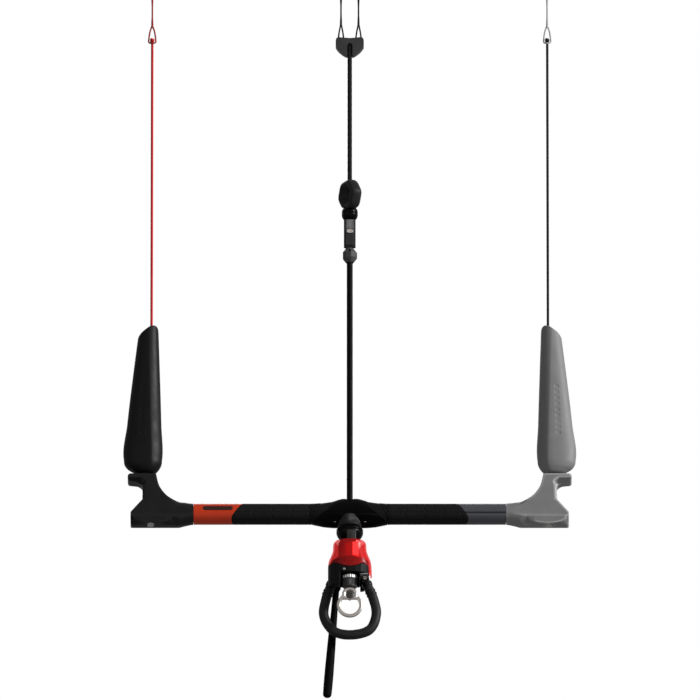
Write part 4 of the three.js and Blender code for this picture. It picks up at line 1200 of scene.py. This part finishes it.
# A red boot round the spring: its low end moves up with the sleeve's shelf.
rings = []
pleats = 10
BOOT_TURN = math.radians(-75.3)  # one flat faces front right
for z, r in [(-57, 13.2), *[(z, 13.2) for z in np.linspace(-56.6, -37.5, 24)], (-36.4, 12.9), (-35.6, 12.2),
             (-35.4, 11.7), *[(z, 11.7) for z in np.linspace(-36, -57, 8)], (-57, 13.2)]:
    around = BOOT_TURN + circle(pleats)
    rings.append(ring_at(r, z, around))
boot = loft(rings, caps=False)
dress(raised(boot), "spring_boot", "quick_release", "red_clear", RED_CORE, sharp=25)
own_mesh(boot)

turns = 4
spring_line = [(10.8 * math.cos(a), 10.8 * math.sin(a),
                SPRING_LOW + (SPRING_TOP - SPRING_LOW) * a / (2 * math.pi * turns))
               for a in np.linspace(0, 2 * math.pi * turns, turns * 48)]
spring = dress(sweep(spring_line, 0.75, 12), "spring_coil", "quick_release", "steel", STEEL, "release_spring")
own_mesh(spring)

body = softened(copy_of("release_housing"), 0.42, 3)
dress(body, "housing_moulding", "quick_release", "black_plastic",
      moulded("housing_plastic", (0.005, 0.005, 0.0053), 0.55, 900, 0.012, 0.2, gloss=0.12),
      "release_housing",
      sharp=60)
bar_piece = softened(copy_of("latch_bar"), 0.25, 3)
dress(bar_piece, "latch_bar_rounded", "quick_release", "steel", STEEL, "latch_bar")


def round_pin(node, body, radius, x, z, y0, y1, lift=True):
    """A pin along Y with a rolled edge and a small drilled dimple in its front."""
    obj = turned([(0, 0.35), (radius * 0.35, 0.35), (radius * 0.5, 0), (radius * 0.8, 0), (radius, 0.3),
                  (radius, y1 - y0 - 0.3), (radius * 0.8, y1 - y0), (0, y1 - y0)], 40, (x, y0, z), (0, 1, 0))
    if lift:
        raised(obj)
    dress(obj, f"{node}_turned", body, "steel", STEEL, node, sharp=35)


round_pin("housing_pin", "quick_release", 1.5, -6.4, -75.4, -19.2, -13.3)
round_pin("loop_pin", "quick_release", 1.4, -19, -79.5, -3.5, 15.2)
round_pin("stick_pin", "quick_release", 1.2, -15.5, -84.6, 14, 24)
latch = turned([(0, 0.3), (1.2, 0.3), (1.5, 0), (2.3, 0), (2.6, 0.3), (2.6, 1.4), (2.4, 1.7), (1.4, 1.7),
                (1.4, 15.8),
                (1.1, 16.1), (0, 16.1)], 40, (17.5, -0.9, -79.5), (0, 1, 0))
dress(raised(latch), "latch_pin_turned", "quick_release", "steel", STEEL, "latch_pin", sharp=35)
for side, label in ((-1, "left"), (1, "right")):
    round_pin(f"yoke_pin_{label}", "kite_side", 1.0, side * FRONT_X, YOKE_PIN_Z, -2.6, 5.8, lift=False)

# ---- harness loop and stick ----------------------------------------------------------------------

route = curve_through([
    (20.9, LOOP_Y, -88.3), (27, LOOP_Y, -102.5), (30.6, LOOP_Y, -122.5), (23.1, LOOP_Y, -141), (1, LOOP_Y,
                                                                                                -147.5),
    (-18.3, LOOP_Y, -143), (-29.8, LOOP_Y, -124.5), (-27, LOOP_Y, -102), (-22.5, LOOP_Y, -88.7)], 240)
run = np.r_[0, np.cumsum(np.linalg.norm(np.diff(route, axis=0), axis=1))]
thick = 5.65 - 0.25 * np.exp(-np.minimum(run, run[-1] - run) / 3) + 0.05 * np.sin(run * 0.45)
hose = sweep(route, thick, 40)
dress(raised(hose), "harness_hose", "loop", "loop_tube", HOSE, "harness_loop")
for node in ("loop_end_left", "loop_end_right"):
    dress(softened(copy_of(node), 0.35, 4), f"{node}_fitting", "loop", "black_gloss",
          moulded(f"{node}_plastic", (0.005, 0.005, 0.0053), 0.3, 900, 0.01, 0.15, gloss=0.25), node,
          sharp=60)
for index, k in enumerate((12, 19, 220, 227)):
    centre, ahead = route[k], route[k + 1] - route[k - 1]
    band = turned([(5.4, -0.9), (6.0, -0.9), (6.25, -0.5), (6.25, 0.5), (6.0, 0.9), (5.4, 0.9), (5.4, -0.9)],
                  48,
                  centre, ahead)
    dress(raised(band), f"hose_band_{index + 1}", "loop", "loop_tube", BLACK, sharp=40)

top, low = np.array([-15.5, STICK_Y, -84.6]), np.array([-26.3, STICK_Y, -220])
length = np.linalg.norm(low - top)
ahead = (low - top) / length
stations = eased([(0, 3.7), (30, 3.9), (60, 4.6), (76, 4.9), (length - 6, 5.1), (length - 4, 5.05)], 120)
tail = [(length - 4 + 4.2 * math.sin(a), 5.05 * math.cos(a)) for a in np.linspace(0.1, 1.5, 12)]
profile = [(s, r) for s, r in stations] + tail
line = [top + ahead * s for s, _ in profile]
rod = sweep(line, [r for _, r in profile], 40)
eye = turned([(1.7, 0), (4.9, 0), (5.2, 0.3), (5.2, 7.2), (4.9, 7.5), (1.7, 7.5), (1.7, 0)], 48,
             (top[0], 16, top[2]), (0, 1, 0))
cut(rod, pin(1.75, top[0], top[2], 10, 30))
joined(eye, rod)
dress(raised(softened(eye, 0.45, 3)), "loop_stick_rod", "stick", "loop_tube",
      moulded("stick_rubber", 0.003, 0.6, 700, 0.01, 0.15, gloss=0.04), "loop_stick", sharp=60)

# ---- leash swivel and ring -----------------------------------------------------------------------

EYE_Z, HOOP_Z = -104.3, -117.3
bearing = ((-85, 8.7, 0), (-84.8, 9.0, 0.5), (-84.3, 9.3, 1), (-81.7, 9.3, 1), (-81.2, 9.0, 0.5),
           (-81, 8.7, 0),
                   (-81, 4.4, 0), (-85, 4.4, 0), (-85, 8.7, 0))
teeth = fluted([(r, z, bite) for z, r, bite in bearing], 20, 8, 0.55, -1, 1.5, LEASH_Y)
dress(raised(loft(teeth, caps=False)), "bearing_toothed", "quick_release", "steel", SATIN_STEEL,
      "leash_bearing", sharp=30)

knurled = ((0.01, -95, 0), (7.4, -95, 0), (8.3, -94.5, 0), (8.5, -94, 0), (8.5, -93.4, 0), (8.4, -93.1, 1),
                  (8.45, -92, 1), (8.45, -87, 1), (8.4, -86.2, 1), (8.5, -85.9, 0), (8.3, -85.35, 0), (4.1,
                                                                                                       -85.3,
                                                                                                       0),
                  (4.1, -71, 0), (0.01, -71, 0))
barrel = loft(fluted(knurled, 44, 6, 0.32, y=LEASH_Y))
BARREL = moulded("barrel_plastic", 0.05, 0.5, 900, 0.01, 0.15, gloss=0.2)
dress(raised(barrel), "barrel_knurled", "leash_swivel", "black_plastic", BARREL, "leash_barrel", sharp=35)
tongue = prism([(-4.4, EYE_Z - 4), (4.4, EYE_Z - 4), (4.4, -94.5), (-4.4, -94.5)], LEASH_Y, LEASH_Y + 3.2)
cut(tongue, pin(2.1, 0, EYE_Z, -20, 20))
dress(raised(softened(tongue, 0.3, 3)), "barrel_tongue", "leash_swivel", "black_plastic", BARREL, sharp=60)

ring_y = LEASH_Y - 2
c, s, k = boxed(circle(24), 3)
section = np.c_[2.2 * c * k, 2.0 * s * k]
sweep_angles = np.linspace(0, 2 * np.pi, 121)
rings = [np.c_[(12.7 + section[:, 0]) * math.cos(a), ring_y + section[:, 1],
               HOOP_Z + (12.7 + section[:, 0]) * math.sin(a)] for a in sweep_angles]
hoop = loft(rings, caps=False)
web = prism(bent((-8.6, EYE_Z + 1), ((-10.5, EYE_Z - 5), (-12.6, EYE_Z - 7.4)), (12.6, EYE_Z - 7.4),
                 ((10.5, EYE_Z - 5), (8.6, EYE_Z + 1)), steps=10), LEASH_Y - 3.6, LEASH_Y - 0.35)
eye = turned([(0, -0.3), (8.6, -0.3), (9, -0.7), (9, -4), (8.3, -4.9), (7.6, -5), (6.4, -5), (5.6, -4.6),
              (4.6, -3.4),
              (0, -3.4)], 72, (0, LEASH_Y, EYE_Z), (0, 1, 0))
joined(hoop, web, eye)
inside = common(pin(10.95, 0, HOOP_Z, -20, 5, 96), block((-20, -20, -150), (20, 5, EYE_Z - 5.8)))
cut(hoop, inside, pin(2.1, 0, EYE_Z, -20, 5))
dress(raised(softened(hoop, 0.32, 4)), "leash_ring_cast", "leash_ring", "nickel", NICKEL, "leash_ring",
      sharp=60)

slotted = turned([(0, 4.2), (1.8, 4.2), (1.8, -3.7), (3.9, -3.7), (4.2, -3.9), (4.2, -4.2), (3.7, -4.6),
                  (0, -4.7)],
                 56, (0, LEASH_Y, EYE_Z), (0, 1, 0))
cut(slotted, block((-6, -20, EYE_Z - 0.65), (6, LEASH_Y - 4.15, EYE_Z + 0.65)))
dress(raised(bevelled(slotted, 0.12, 2)), "leash_screw_slotted", "leash_swivel", "steel", DARK_STEEL,
      "leash_screw", sharp=30)

# ---- what is left of the CAD, mostly inside -------------------------------------------------------

for node, finish in (("bar_tube_left", ALLOY), ("bar_tube_right", ALLOY), ("swivel_head", STEEL)):
    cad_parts[node].data.materials.clear()
    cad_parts[node].data.materials.append(finish)

FLOOR_Z = -17.5  # far enough down that views from below see past it
FLOOR_HALF = 90
floor = bpy.data.meshes.new("floor")
floor.from_pydata([(x * FLOOR_HALF, y * FLOOR_HALF, FLOOR_Z) for x,
                   y in ((-1, -1), (1, -1), (1, 1), (-1, 1))], [], [(0, 1, 2, 3)])
floor = bpy.data.objects.new("floor", floor)
scene.collection.objects.link(floor)
floor.data.materials.append(moulded("floor_paper", 0.5, 0.9, 20, 0.1, 0.01, 1.0))
